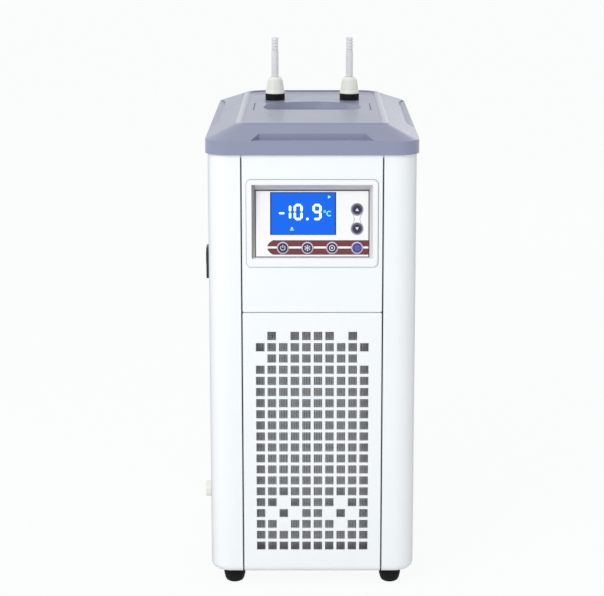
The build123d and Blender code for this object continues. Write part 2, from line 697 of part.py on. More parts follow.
def control_board():
    """Circuit board behind the keys and display, stood off on four pillars that reach the bezel."""
    board = on_panel(BOARD_TOP - BOARD, BOARD_TOP, (-BOARD_HALF_WIDTH, BOARD_HALF_WIDTH), (0, BOARD_HEIGHT))
    x = BOARD_HALF_WIDTH - 4
    rows = (4, BOARD_HEIGHT - 6)
    pillars = [key_rod(2.5, side * x, v, BOARD_TOP, -POCKET_FLOOR) for side in (-1, 1) for v in rows]
    domes = [key_rod(DOME_R, x, v, BOARD_TOP, BOARD_TOP + DOME) for _, x, v, _ in key_places()]
    return board + pillars + domes


def switch_cutout():
    """Hole in the left cover for the rocker switch body."""
    y, half_y, half_z = SWITCH_Y, SWITCH_WIDTH / 2 - 2, SWITCH_HEIGHT / 2 - 2
    return block((-SIDE_X - 1, -SIDE_X + 5), (y - half_y, y + half_y), (SWITCH_Z - half_z, SWITCH_Z + half_z))


def switch_block(x, half_y, half_z):
    """A box round the switch's centre line, between two places along X."""
    return block(x, (SWITCH_Y - half_y, SWITCH_Y + half_y), (SWITCH_Z - half_z, SWITCH_Z + half_z))


def switch_well():
    """Half width and half height of the well that the rocker tilts in."""
    return SWITCH_WIDTH / 2 - SWITCH_FRAME - 1, SWITCH_HEIGHT / 2 - SWITCH_FRAME - 1


def pivot_pin(radius, half):
    """A pin across the switch along the rocker's axis."""
    return rod(radius, (PIVOT_X, SWITCH_Y - half, SWITCH_Z), 2 * half, (0, 1, 0))


def switch_housing():
    """Snap-in switch body with a bezel frame outside the cover and bearings for the rocker."""
    half_y, half_z = SWITCH_WIDTH / 2, SWITCH_HEIGHT / 2
    frame = switch_block((-SIDE_X - SWITCH_PROUD, -SIDE_X), half_y, half_z)
    frame = fillet(frame.edges().filter_by(Axis.X), 2)
    body = switch_block((-SIDE_X, -SIDE_X + SWITCH_BODY), half_y - 2 - FIT, half_z - 2 - FIT)
    well = switch_block((-SIDE_X - 10, -SIDE_X + SWITCH_WELL), *switch_well())
    return frame + body - well - pivot_pin(PIVOT_R + PIVOT_RUNNING, half_y)


def rocker():
    """Rocker with its lower end pressed in, on trunnions in the walls of the switch body."""
    half_y = switch_well()[0] - SEAT
    lean = radians(ROCKER_THROW / 2)
    reach = SWITCH_PROUD + PIVOT_X + SIDE_X + ROCKER_PROUD
    crown = reach / cos(lean)
    end_x = reach * cos(lean) - ROCKER_FACE * sin(lean)
    end_z = reach * sin(lean) + ROCKER_FACE * cos(lean)
    outline = [(-crown, 0), (-end_x, end_z), (ROCKER_DEPTH, 4), (ROCKER_DEPTH, -4), (-end_x, -end_z)]
    side = make_face(Polyline(*[(x, -half_y, z) for x, z in outline], close=True))
    paddle = Rot(0, -ROCKER_THROW / 2, 0) * extrude(side, 2 * half_y, dir=(0, 1, 0))
    return Pos(PIVOT_X, SWITCH_Y, SWITCH_Z) * paddle + pivot_pin(PIVOT_R, half_y + 1.4)


def drain_port():
    """Drain fitting through the left cover, with an inner hose spigot."""
    x, y, proud = -SIDE_X, DRAIN_Y, DRAIN_PROUD - DRAIN_FLANGE
    flange = rod(DRAIN_R, (x - DRAIN_FLANGE, y, DRAIN_Z), DRAIN_FLANGE, (1, 0, 0))
    neck = rod(DRAIN_NECK_R, (x - proud, y, DRAIN_Z), proud, (1, 0, 0))
    shank = rod(DRAIN_R - 2.0 - FIT, (x, y, DRAIN_Z), 12, (1, 0, 0))
    inside = rod(4.0, (x + 12, y, DRAIN_Z), 14, (1, 0, 0))
    return flange + neck + shank + inside - rod(DRAIN_BORE, (x - 20, y, DRAIN_Z), 60, (1, 0, 0))


def drain_cap():
    """Screw cap over the drain neck, with grip flutes round its rim."""
    radius, length, bore = DRAIN_R - 0.5, DRAIN_PROUD - DRAIN_FLANGE - SEAT, DRAIN_NECK_R + SEAT
    crown = DRAIN_FLANGE - SEAT
    points = [(0, 0), (radius - 1, 0), (radius, 1), (radius, length)]
    points += [(bore, length), (bore, crown), (0, crown)]
    cap = turned(points)
    for step in range(DRAIN_GRIPS):
        flute = block((radius - 0.4, radius + 2), (-0.9, 0.9), (1.5, length + 1))
        cap -= Rot(0, 0, step * 360 / DRAIN_GRIPS) * flute
    return Plane(origin=(-SIDE_X - DRAIN_PROUD, DRAIN_Y, DRAIN_Z), x_dir=(0, 1, 0), z_dir=(1, 0, 0)) * cap


def condenser_fins():
    """Upright aluminium fins in front of and behind the tube plane."""
    fins = []
    step = (CORE_WIDTH - 2 * END_PLATE - 2) / (FIN_COUNT - 1)
    for index in range(FIN_COUNT):
        x = (index - (FIN_COUNT - 1) / 2) * step
        across, up = (x - FIN / 2, x + FIN / 2), (CORE_LOW + 1, CORE_HIGH - 1)
        fins.append(block(across, (CORE_FRONT, CORE_FRONT + FIN_DEPTH), up))
        fins.append(block(across, (CORE_BACK - FIN_DEPTH, CORE_BACK), up))
    return group(fins)


def condenser_tube():
    """Serpentine of level passes joined by return bends outside the end plates."""
    reach = CORE_WIDTH / 2 + 1.0
    bend = PASS_PITCH / 2
    points = []
    for index in range(TUBE_PASSES):
        z = CORE_LOW + PASS_PITCH * (index + 0.5)
        ends = (-reach - bend, reach + bend)
        left, right = ends if index % 2 == 0 else ends[::-1]
        points += [(left, TUBE_Y, z), (right, TUBE_Y, z)]
    points[0] = (-reach - 6, TUBE_Y, points[0][2])
    last = points[-1]
    points[-1] = (-reach - 6 if last[0] < 0 else reach + 6, TUBE_Y, last[2])
    return tube(points, TUBE_R, bend - 0.01)


def condenser_plates():
    """The two end plates that carry the tubes and stand on the tray."""
    plates = []
    for side in (-1, 1):
        x = sorted((side * CORE_WIDTH / 2, side * (CORE_WIDTH / 2 - END_PLATE)))
        plate = block(x, (CORE_FRONT, CORE_BACK), (FLOOR_Z, CORE_HIGH))
        holes = []
        for index in range(TUBE_PASSES):
            z = CORE_LOW + PASS_PITCH * (index + 0.5)
            holes.append(rod(TUBE_R + FIT, (-CORE_WIDTH, TUBE_Y, z), 2 * CORE_WIDTH, (1, 0, 0)))
        plates.append(plate - holes)
    return group(plates)


def fan_shroud():
    """Sheet shroud behind the condenser with a drawn orifice round the fan."""
    y = CORE_BACK + SEAT
    half = CORE_WIDTH / 2
    plate = block((-half, half), (y, y + SHROUD), (FLOOR_Z, CORE_HIGH))
    plate += rod(ORIFICE_R + SHROUD, (0, y, FAN_Z), ORIFICE_LENGTH, (0, 1, 0))
    return plate - rod(ORIFICE_R, (0, y - 1, FAN_Z), ORIFICE_LENGTH + 2, (0, 1, 0))


def fan_bracket():
    """Cross bracket from the shroud's orifice to the fan motor."""
    arms = []
    for turn in (45, 135, 225, 315):
        arm = block((MOTOR_R - 4, ORIFICE_R + SHROUD), (ARM_Y, ARM_Y + 3), (-5, 5))
        arms.append(Pos(0, 0, FAN_Z) * Rot(0, turn, 0) * arm)
    ring = rod(MOTOR_R, (0, ARM_Y, FAN_Z), 3, (0, 1, 0)) - rod(10 + FIT, (0, ARM_Y - 1, FAN_Z), 5, (0, 1, 0))
    return ring + arms


def fan_motor():
    """Fan motor can, screwed to the back of the bracket, with its shaft forward."""
    bore = FAN_SHAFT_R + RUNNING
    points = [(0, SHAFT_GRIP + 1), (bore, SHAFT_GRIP + 1), (bore, -0.5), (10, -0.5), (10, 3), (MOTOR_R, 3)]
    points += [(MOTOR_R, MOTOR_LENGTH), (MOTOR_R - 5, MOTOR_LENGTH + 3), (0, MOTOR_LENGTH + 3)]
    return Plane(origin=(0, ARM_Y, FAN_Z), z_dir=(0, 1, 0)) * turned(points)


def fan_rotor():
    """Five raked blades on a hub, with the shaft stub that enters the motor."""
    deep = FAN_DEPTH - 1.5
    hub = turned([(0, 0), (FAN_HUB_R - 3, 0), (FAN_HUB_R, 3), (FAN_HUB_R, deep), (0, deep)])
    hub = Plane(origin=(0, FAN_Y, FAN_Z), z_dir=(0, 1, 0)) * hub
    blades = []
    for index in range(FAN_BLADES):
        root = Plane(origin=(FAN_HUB_R - 3, 0, 0), x_dir=(0, 1, 0), z_dir=(1, 0, 0))
        tip = Plane(origin=(FAN_R - 1, 0, 0), x_dir=(0, 1, 0), z_dir=(1, 0, 0))
        near = root * Rot(0, 0, 50) * Rectangle(18, FAN_BLADE)
        far = tip * Rot(0, 0, 66) * Rectangle(34, FAN_BLADE)
        blade = loft([near, far], ruled=True)
        blades.append(Pos(0, FAN_Y + FAN_DEPTH / 2, FAN_Z) * Rot(0, index * 360 / FAN_BLADES, 0) * blade)
    shaft = rod(FAN_SHAFT_R, (0, FAN_Y + 1, FAN_Z), ARM_Y + SHAFT_GRIP - FAN_Y - 1, (0, 1, 0))
    return (hub + blades + shaft).solid()


def compressor():
    """Hermetic can with a welded waist, feet and a terminal cover."""
    low, high = CAN_Z, CAN_Z + CAN_HEIGHT
    points = [(0, low), (CAN_R, low), (CAN_R, low + 62), (CAN_R + 2, low + 62), (CAN_R + 2, low + 66)]
    points += [(CAN_R, low + 66), (CAN_R, high - 24), (CAN_R - 8, high - 9)]
    points += [(CAN_R - 24, high - 1), (0, high)]
    feet = block((-CAN_FEET_X, CAN_FEET_X), (CAN_Y - CAN_FEET_Y, CAN_Y + CAN_FEET_Y), (low - 2, low))
    feet = fillet(feet.edges().filter_by(Axis.Z), 10)
    cover = block((CAN_R - 8, CAN_R + 14), (CAN_Y - 24, CAN_Y + 24), (low + 12, low + 56))
    holes = [rod(4, (x, y, low - 5), 10, (0, 0, 1)) for x, y in grommet_places()]
    return Pos(0, CAN_Y, 0) * turned(points) + feet + cover - holes


def grommet_places():
    """Plan centres of the compressor's rubber mounts."""
    return [(x, CAN_Y + y) for x in (-70, 70) for y in (-42, 42)]


def grommets():
    """Rubber mounts between the tray and the compressor feet."""
    mounts = []
    for x, y in grommet_places():
        points = [(2.5, 0), (GROMMET_R, 0), (GROMMET_R - 2, GROMMET_H / 2), (GROMMET_R, GROMMET_H)]
        points += [(3.8, GROMMET_H), (3.8, GROMMET_H + 3), (2.5, GROMMET_H + 3)]
        mounts.append(Pos(x, y, FLOOR_Z) * turned(points))
    return group(mounts)


def plant_shelf():
    """Shelf over the compressor, folded down at its sides, which carries pump and tank stand."""
    half, back = POST_INNER_X, BASE_HALF_Y - PLATE - FIT - POST_INSET - POST_SHEET - FIT
    shelf = block((-half, half), (SHELF_FRONT, back), (SHELF_Z - 18, SHELF_TOP))
    shelf -= block((SHELF - half, half - SHELF), (SHELF_FRONT - 1, back + 1), (SHELF_Z - 19, SHELF_Z))
    return shelf


def tank_stand():
    """Bridge that lifts the tank over the pump."""
    half, low = STAND_HALF, SHELF_TOP
    y = (TANK_Y - TANK_DEPTH / 2, TANK_Y + TANK_DEPTH / 2)
    bridge = block((-half, half), y, (low, TANK_Z))
    under = (low - 1, TANK_Z - TANK_STAND)
    return bridge - block((TANK_STAND - half, half - TANK_STAND), (y[0] - 1, y[1] + 1), under)


def reservoir():
    """Drawn stainless bath tank with a flange round its mouth."""
    outer = Pos(0, TANK_Y, 0) * slab(TANK_WIDTH, TANK_DEPTH, TANK_R, TANK_Z, TANK_HEIGHT)
    rim = slab(TANK_WIDTH + 12, TANK_DEPTH + 12, TANK_R + 4, TANK_Z + TANK_HEIGHT - 1.2, 1.2)
    rim = Pos(0, TANK_Y, 0) * rim
    inner = Pos(0, TANK_Y, 0) * slab(
        TANK_WIDTH - 2 * TANK_WALL, TANK_DEPTH - 2 * TANK_WALL, TANK_R - TANK_WALL, TANK_Z + TANK_WALL, TANK_HEIGHT
    )
    return outer + rim - inner


def reservoir_lid():
    """Tank lid with two hose stubs that line up with the spigots above."""
    low = TANK_Z + TANK_HEIGHT
    lid = Pos(0, TANK_Y, 0) * slab(TANK_WIDTH + 12, TANK_DEPTH + 12, TANK_R + 4, low, 2)
    for side in (-1, 1):
        lid += rod(5, (side * NOZZLE_X, NOZZLE_Y, low + 1), 7, (0, 0, 1))
        lid -= rod(3, (side * NOZZLE_X, NOZZLE_Y, low - 1), 12, (0, 0, 1))
    return lid


def pump_volute():
    """Plastic pump chamber with a suction stub and a foot."""
    y = PUMP_Y - VOLUTE_DEPTH
    body = rod(VOLUTE_R, (PUMP_X, y, PUMP_Z), VOLUTE_DEPTH, (0, 1, 0))
    body += block((PUMP_X - 20, PUMP_X + 20), (y + 4, PUMP_Y - 2), (SHELF_TOP, PUMP_Z))
    body += rod(7, (PUMP_X, y - 12, PUMP_Z), 12, (0, 1, 0))
    depth = VOLUTE_DEPTH - VOLUTE_WALL + 1
    chamber = rod(IMPELLER_R + 3, (PUMP_X, y + VOLUTE_WALL, PUMP_Z), depth, (0, 1, 0))
    return body - chamber - rod(4.5, (PUMP_X, y - 20, PUMP_Z), 40, (0, 1, 0))


def pump_motor():
    """Pump motor flanged to the open back of the volute, with the impeller spindle."""
    points = [(0, -16), (2.5, -16), (2.5, 0), (VOLUTE_R, 0), (VOLUTE_R, 4)]
    points += [(26, 4), (26, 60), (22, 64), (0, 64)]
    return Plane(origin=(PUMP_X, PUMP_Y, PUMP_Z), z_dir=(0, 1, 0)) * turned(points)


def pump_impeller():
    """Open impeller with straight vanes on a disc, running on the spindle."""
    disc = rod(IMPELLER_R, (PUMP_X, PUMP_Y - 6, PUMP_Z), 3, (0, 1, 0))
    disc += rod(6, (PUMP_X, PUMP_Y - 16, PUMP_Z), 12, (0, 1, 0))
    for index in range(6):
        vane = block((5, IMPELLER_R - 1), (PUMP_Y - 14, PUMP_Y - 5), (-0.8, 0.8))
        disc += Pos(PUMP_X, 0, PUMP_Z) * Rot(0, index * 60, 0) * vane
    return disc - rod(2.5 + SEAT, (PUMP_X, PUMP_Y - 20, PUMP_Z), 30, (0, 1, 0))


def plate_exchanger():
    """Brazed plate heat exchanger in its foam jacket, with four ports."""
    left, front = TANK_STAND + 1.5 - STAND_HALF, TANK_Y - EXCHANGER_DEPTH + 6
    x, y, low = (left, left + EXCHANGER_WIDTH), (front, front + EXCHANGER_DEPTH), SHELF_TOP
    body = block(x, y, (low, low + EXCHANGER_HEIGHT))
    body = chamfer(body.edges().filter_by(Axis.X), 8)
    for inset in (18, EXCHANGER_DEPTH - 18):
        for rise in (18, EXCHANGER_HEIGHT - 18):
            body += rod(6, (x[1] - 1, front + inset, low + rise), 11, (1, 0, 0))
    return body


def filter_drier():
    """Copper filter drier that stands on the tray beside the fan shroud."""
    points = [(0, 0), (4, 0), (4, 10), (11, 18), (11, 100), (4, 108), (4, 122), (0, 122)]
    return Pos(DRIER_X, DRIER_Y, FLOOR_Z + SEAT) * turned(points)


def power_board():
    """Power supply board stood off the left post side on a bracket plate."""
    low, y = SHELF_TOP, SHELF_FRONT + 28.5
    foot_plate = block((-70, -10), (y - 22.5, y + 1.5), (low, low + 1.5))
    wall = block((-70, -10), (y, y + 1.5), (low, low + 80))
    board = block((-67, -13), (y - 5, y - 3.5), (low + 6, low + 76))
    blocks = [block((-60, -40), (y - 22.5, y - 4.5), (low + 12, low + 34))]
    blocks += [block((-34, -18), (y - 18.5, y - 4.5), (low + 40, low + 66))]
    posts = [rod(2, (x, y - 4.5, low + rise), 5, (0, 1, 0)) for x in (-64, -16) for rise in (10, 72)]
    return foot_plate + wall + board + blocks + posts


def start_capacitor():
    """Motor run capacitor that stands on the shelf."""
    can = turned([(0, 0), (16, 0), (16, 60), (14, 62), (0, 62)])
    lugs = [block((x - 3, x + 3), (-0.5, 0.5), (61, 70)) for x in (-6, 6)]
    return Pos(40, SHELF_FRONT + 28, SHELF_TOP) * (can + lugs)


def power_inlet():
    """Mains inlet socket: flange outside the back panel and an open shroud inside."""
    half_x, half_z = SOCKET_WIDTH / 2, SOCKET_HEIGHT / 2
    flange = block(
        (SOCKET_X - SOCKET_FLANGE_X / 2, SOCKET_X + SOCKET_FLANGE_X / 2),
        (BACK_Y, BACK_Y + SOCKET_FLANGE),
        (SOCKET_Z - half_z - 4, SOCKET_Z + half_z + 4),
    )
    flange = fillet(flange.edges().filter_by(Axis.Y), 3)
    body = block(
        (SOCKET_X - half_x - SOCKET_WALL, SOCKET_X + half_x + SOCKET_WALL),
        (BACK_Y - SOCKET_DEPTH, BACK_Y + 1),
        (SOCKET_Z - half_z - SOCKET_WALL, SOCKET_Z + half_z + SOCKET_WALL),
    )
    cavity = block(
        (SOCKET_X - half_x, SOCKET_X + half_x),
        (BACK_Y - SOCKET_DEPTH + 4, BACK_Y + 10),
        (SOCKET_Z - half_z, SOCKET_Z + half_z),
    )
    holes = [rod(SCREW_R, (SOCKET_X + s * 20, BACK_Y - 1, SOCKET_Z), 6, (0, 1, 0)) for s in (-1, 1)]
    return flange + body - cavity - holes + inlet_pins()


def inlet_pins():
    """Three flat contact blades that stand on the floor of the inlet, the earth higher."""
    pins = []
    for x, z in ((-7, -3), (0, 3), (7, -3)):
        across = (SOCKET_X + x - 1, SOCKET_X + x + 1)
        back = BACK_Y - SOCKET_DEPTH + 3
        up = (SOCKET_Z + z - PIN_HALF_HEIGHT, SOCKET_Z + z + PIN_HALF_HEIGHT)
        pins.append(block(across, (back, BACK_Y - 3), up))
    return pins


def suction_pipe():
    """Copper pipe from the compressor up through the shelf edge to the exchanger side."""
    low = CAN_Z + CAN_HEIGHT
    points = [(-20, CAN_Y, low), (-20, CAN_Y, low + 22), (-60, CAN_Y, low + 22)]
    return tube(points, 3, 10)


def build():
    """Every node by name."""
    shell = cabinet_shell()
    nodes = {
        "left_cover": side_cover(shell, -1),
        "right_cover": side_cover(shell, 1),
        "upper_front_panel": upper_panel(shell),
        "lower_front_grille": grille(shell),
        "rear_panel": rear_panel(shell),
        "rear_screws": rear_screws(),
        "base_plate": base_plate(),
        "foot_screws": foot_screws(),
        "frame_posts": frame_posts(),
        "top_frame": top_frame(),
        "top_cover": top_cover(),
        "lid_screws": lid_screws(),
        "display_bezel": bezel(),
        "keypad_overlay": overlay(),
        "lcd_module": lcd(),
        "control_board": control_board(),
        "switch_housing": switch_housing(),
        "power_rocker": rocker(),
        "drain_port": drain_port(),
        "drain_cap": drain_cap(),
        "condenser_fins": condenser_fins(),
        "condenser_tube": condenser_tube(),
        "condenser_end_plates": condenser_plates(),
        "fan_shroud": fan_shroud(),
        "fan_bracket": fan_bracket(),
        "fan_motor": fan_motor(),
        "fan_rotor": fan_rotor(),
        "compressor": compressor(),
        "compressor_grommets": grommets(),
        "plant_shelf": plant_shelf(),
        "tank_stand": tank_stand(),
        "reservoir": reservoir(),
        "reservoir_lid": reservoir_lid(),
        "pump_volute": pump_volute(),
        "pump_motor": pump_motor(),
        "pump_impeller": pump_impeller(),
        "plate_exchanger": plate_exchanger(),
        "filter_drier": filter_drier(),
        "power_board": power_board(),
        "start_capacitor": start_capacitor(),
        "power_inlet": power_inlet(),
        "suction_pipe": suction_pipe(),
    }
    for name, x, v, radius in key_places():
        nodes[name] = key(x, v, radius)
    places = ("front_left", "front_right", "rear_left", "rear_right")
    for place, (x, y) in zip(places, foot_places()):
        nodes[f"foot_{place}"] = foot(x, y)
    for word, side in (("outlet", -1), ("return", 1)):
        x = side * NOZZLE_X
        nodes[f"{word}_spigot"] = spigot(x)
        nodes[f"{word}_ring"] = seal_ring(x)
        nodes[f"{word}_nut"] = hose_nut(x)
        nodes[f"{word}_hose_tail"] = hose_tail(x)
    return nodes


if __name__ == "__main__":
    os.makedirs("parts", exist_ok=True)
    for name, shape in build().items():
        export_step(shape, f"parts/{name}.step")
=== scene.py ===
"""Looks of a recirculating chiller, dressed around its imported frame. Lengths are in metres."""

from __future__ import annotations

import json
import logging
import math
from dataclasses import dataclass, field
from enum import Enum
from functools import partial, reduce
from typing import Any, Callable, Sequence

import bmesh
import bpy
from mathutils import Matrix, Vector

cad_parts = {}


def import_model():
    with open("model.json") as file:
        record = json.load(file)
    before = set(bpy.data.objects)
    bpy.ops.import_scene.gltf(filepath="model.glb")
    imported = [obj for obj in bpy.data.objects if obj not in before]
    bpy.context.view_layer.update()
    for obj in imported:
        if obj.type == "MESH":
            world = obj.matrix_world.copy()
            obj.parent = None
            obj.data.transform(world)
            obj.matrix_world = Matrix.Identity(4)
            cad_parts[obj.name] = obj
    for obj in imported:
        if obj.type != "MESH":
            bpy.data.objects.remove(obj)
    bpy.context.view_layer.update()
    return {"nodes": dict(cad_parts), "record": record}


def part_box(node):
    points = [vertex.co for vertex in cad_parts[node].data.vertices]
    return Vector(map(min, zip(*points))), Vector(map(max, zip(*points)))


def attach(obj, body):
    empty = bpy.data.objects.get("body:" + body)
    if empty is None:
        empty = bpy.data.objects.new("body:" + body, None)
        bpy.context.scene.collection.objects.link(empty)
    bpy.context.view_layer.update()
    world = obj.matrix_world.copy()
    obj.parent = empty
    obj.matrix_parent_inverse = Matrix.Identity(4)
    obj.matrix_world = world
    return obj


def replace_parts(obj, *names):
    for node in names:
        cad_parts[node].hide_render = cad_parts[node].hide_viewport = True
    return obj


LOG = logging.getLogger("chiller")
MM = 0.001
PROUD = 0.00012
HOUSING = "housing"
WHOLE_TURN = (0.0, 2 * math.pi - 0.001)
ARC_STEPS = 20

Colour = tuple[float, float, float]
Point = tuple[float, float]
Material = bpy.types.Material
BLACK: Colour = (0.0, 0.0, 0.0)


def srgb(red: float, green: float, blue: float) -> Colour:
    """Turn a 0 to 255 display colour into the linear colour that shaders use.

    Args:
        red: red as displayed.
        green: green as displayed.
        blue: blue as displayed.

    Returns:
        The linear colour.
    """
    return tuple(
        part / 255 / 12.92 if part <= 10 else ((part / 255 + 0.055) / 1.055) ** 2.4
        for part in (red, green, blue)
    )


def by_math(operation: str, swapped: bool = False) -> Callable[..., Sum]:
    """Return a method that works on a sum through a Math node.

    Args:
        operation: the Math node's operation.
        swapped: puts the sum after the other value.

    Returns:
        The method.
    """

    def method(first: Sum, *others: Any) -> Sum:
        """Add the Math node."""
        values = (*others, first) if swapped else (first, *others)
        return first.graph.node("ShaderNodeMath", {"operation": operation}, dict(enumerate(values)))

    return method


class Sum:
    """A shader socket that can be written in Python expressions."""

    def __init__(self, graph: Graph, socket: Any) -> None:
        """Keep the socket and the graph that holds it."""
        self.graph = graph
        self.socket = socket

    __add__ = by_math("ADD")
    __sub__ = by_math("SUBTRACT")
    __rsub__ = by_math("SUBTRACT", swapped=True)
    __mul__ = by_math("MULTIPLY")
    __truediv__ = by_math("DIVIDE")
    __pow__ = by_math("POWER")
    __abs__ = by_math("ABSOLUTE")
    most = by_math("MAXIMUM")
    least = by_math("MINIMUM")
    sine = by_math("SINE")

    def under(self, limit: Any, soft: float) -> Sum:
        """Mask that is 1 under a limit and falls to 0 over a soft width.

        Args:
            limit: the value at the middle of the edge.
            soft: the width of the edge.

        Returns:
            The mask, clamped to 0 and 1.
        """
        edge = (limit - self) / soft + 0.5
        return edge.most(0.0).least(1.0)


@dataclass
class Graph:
    """A material's node tree with one way to add a node."""

    name: str
    material: Material = field(init=False)
    tree: Any = field(init=False)
    shader: Any = field(init=False)

    def __post_init__(self) -> None:
        """Make the material with an empty Principled shader."""
        self.material = bpy.data.materials.new(self.name)
        self.material.use_nodes = True
        self.tree = self.material.node_tree
        self.shader = self.tree.nodes["Principled BSDF"]

    def node(self, kind: str, settings: dict[str, Any], inputs: dict[Any, Any], output: Any = 0) -> Sum:
        """Add a node.

        Args:
            kind: the node's type.
            settings: properties, set first.
            inputs: values or links by socket name or index.
            output: the output socket to return.

        Returns:
            The chosen output as a sum.
        """
        made = self.tree.nodes.new(kind)
        for key, value in settings.items():
            setattr(made, key, value)
        for key, value in inputs.items():
            self.link(made.inputs[key], value)
        return Sum(self, made.outputs[output])

    def link(self, target: Any, value: Any) -> None:
        """Feed a socket from a sum, or set its value.

        Args:
            target: the input socket.
            value: a sum, a number or a colour.
        """
        if isinstance(value, Sum):
            self.tree.links.new(value.socket, target)
        elif isinstance(value, (tuple, list)) and len(value) == 3 and target.type == "RGBA":
            target.default_value = (*value, 1.0)
        else:
            target.default_value = value

    def set(self, **values: Any) -> None:
        """Set or link the Principled shader's sockets; underscores stand for spaces.

        Args:
            values: one value or sum for each socket.
        """
        for key, value in values.items():
            self.link(self.shader.inputs[key.replace("_", " ")], value)

    def place(self) -> Sum:
        """Return the Object coordinate."""
        return self.node("ShaderNodeTexCoord", {}, {}, "Object")

    def axes(self) -> tuple[Sum, Sum, Sum]:
        """Return X, Y and Z of the Object coordinate."""
        split = self.node("ShaderNodeSeparateXYZ", {}, {0: self.place()}).socket.node
        return tuple(Sum(self, split.outputs[index]) for index in range(3))

    def noise(self, scale: float, detail: float) -> Sum:
        """Return noise on the Object coordinate.

        Args:
            scale: bumps per metre.
            detail: octaves.

        Returns:
            The noise from 0 to 1.
        """
        inputs = {"Vector": self.place(), "Scale": scale, "Detail": detail, "Roughness": 0.5}
        return self.node("ShaderNodeTexNoise", {}, inputs)

    def facing(self) -> Sum:
        """Return 0 where a surface faces the eye and 1 at its outline."""
        return self.node("ShaderNodeLayerWeight", {}, {"Blend": 0.5}, "Facing")

    def mix(self, mask: Any, low: Any, high: Any) -> Sum:
        """Blend two colours.

        Args:
            mask: 0 gives low and 1 gives high.
            low: colour or sum.
            high: colour or sum.

        Returns:
            The blended colour.
        """
        return self.node("ShaderNodeMix", {"data_type": "RGBA"}, {0: mask, 6: low, 7: high}, 2)

    def bump(self, height: Sum, depth: float) -> None:
        """Feed the shader's normal from a height.

        Args:
            height: the height from 0 to 1.
            depth: metres between 0 and 1.
        """
        inputs = {"Height": height, "Distance": depth, "Strength": 1.0}
        self.set(Normal=self.node("ShaderNodeBump", {}, inputs, "Normal"))

    def seen(self) -> Sum:
        """Return 1 for rays that come from the camera, a gloss or a clear piece, and else 0."""
        camera = self.node("ShaderNodeLightPath", {}, {}, "Is Camera Ray")
        rays = camera.socket.node.outputs
        return camera.most(Sum(self, rays["Is Glossy Ray"])).most(Sum(self, rays["Is Transmission Ray"]))

    def cover(self, mask: Sum, top: Sum, output: str) -> None:
        """Lay a second shader over the tree's own.

        Args:
            mask: 1 shows the second shader.
            top: the second shader.
            output: the name of the tree's output node.
        """
        own = Sum(self, self.shader.outputs[0])
        mixed = self.node("ShaderNodeMixShader", {}, {0: mask, 1: own, 2: top})
        self.link(self.tree.nodes[output].inputs["Surface"], mixed)


@dataclass
class WorldGraph(Graph):
    """The world's node tree, filled by the same calls."""

    def __post_init__(self) -> None:
        """Make the world with its Background shader."""
        world = bpy.data.worlds.new(self.name)
        world.use_nodes = True
        bpy.context.scene.world = world
        self.tree = world.node_tree
        self.shader = self.tree.nodes["Background"]


# Grey of the painted shade that a finish's edge share lays on its outlines.
OUTLINE_SHADE_GREY = srgb(150, 154, 158)
SLOW_SCALE = 14.0
FINE_GLOSS = 0.10
SLOW_GLOSS = 0.06


@dataclass(frozen=True)
class Finish:
    """A finish with a fine grain, a slow drift of tone, a changing gloss and, where edge is set, painted
    shade that greys the outline where a surface turns from the eye.
    """

    name: str
    colour: Colour
    roughness: float = 0.4
    metallic: float = 0.0
    coat: float = 0.0
    grain: float = 1500.0
    depth: float = 0.00002
    drift: float = 0.03
    # edge: share of painted shade at the outline, where the surface turns from the eye.
    edge: float = 0.0
    shine: float = 0.5

    def build(self) -> Material:
        """Return the material."""
        graph = Graph(self.name)
        self.dress(graph)
        return graph.material

    def tone(self, graph: Graph) -> Any:
        """Return the base colour before the drift; a finish with a print overrides it.

        Args:
            graph: the material's graph.

        Returns:
            A colour, or a sum that carries one.
        """
        return self.colour

    def dress(self, graph: Graph) -> None:
        """Fill the shader.

        Args:
            graph: the material's graph.
        """
        slow = graph.noise(SLOW_SCALE, 3.0)
        fine = graph.noise(self.grain, 2.0)
        base = self.roughness - (FINE_GLOSS + SLOW_GLOSS) / 2
        shade = graph.mix(slow * self.drift, self.tone(graph), BLACK)
        # Painted shade: greys the outline where the surface turns from the eye.
        if self.edge:
            shade = graph.mix(graph.facing() ** 3 * self.edge, shade, OUTLINE_SHADE_GREY)
        graph.set(
            Base_Color=shade,
            Roughness=fine * FINE_GLOSS + slow * SLOW_GLOSS + base,
            Metallic=self.metallic,
            Coat_Weight=self.coat,
            Specular_IOR_Level=self.shine,
        )
        graph.bump(fine, self.depth)


@dataclass(frozen=True)
class BrushedMetal(Finish):
    """Metal with fine lines along one axis."""

    along: str = "X"
    lines_along: float = 40.0
    lines_across: float = 2500.0
    line_tone: float = 0.25
    drift_tone: float = 0.1
    darkest: float = 0.45
    line_gloss: float = 0.18

    def dress(self, graph: Graph) -> None:
        """Fill the shader with stretched grain.

        Args:
            graph: the material's graph.
        """
        stretch = tuple(self.lines_along if axis == self.along else self.lines_across for axis in "XYZ")
        place = graph.node("ShaderNodeMapping", {}, {"Vector": graph.place(), "Scale": stretch})
        lines = graph.node("ShaderNodeTexNoise", {}, {"Vector": place, "Scale": 1.0, "Detail": 2.0})
        worn = lines * self.line_tone + graph.noise(20.0, 3.0) * self.drift_tone
        dark = tuple(part * self.darkest for part in self.colour)
        graph.set(
            Base_Color=graph.mix(worn, self.colour, dark),
            Metallic=self.metallic,
            Roughness=lines * self.line_gloss + (self.roughness - 0.05),
        )
        graph.bump(lines, self.depth)


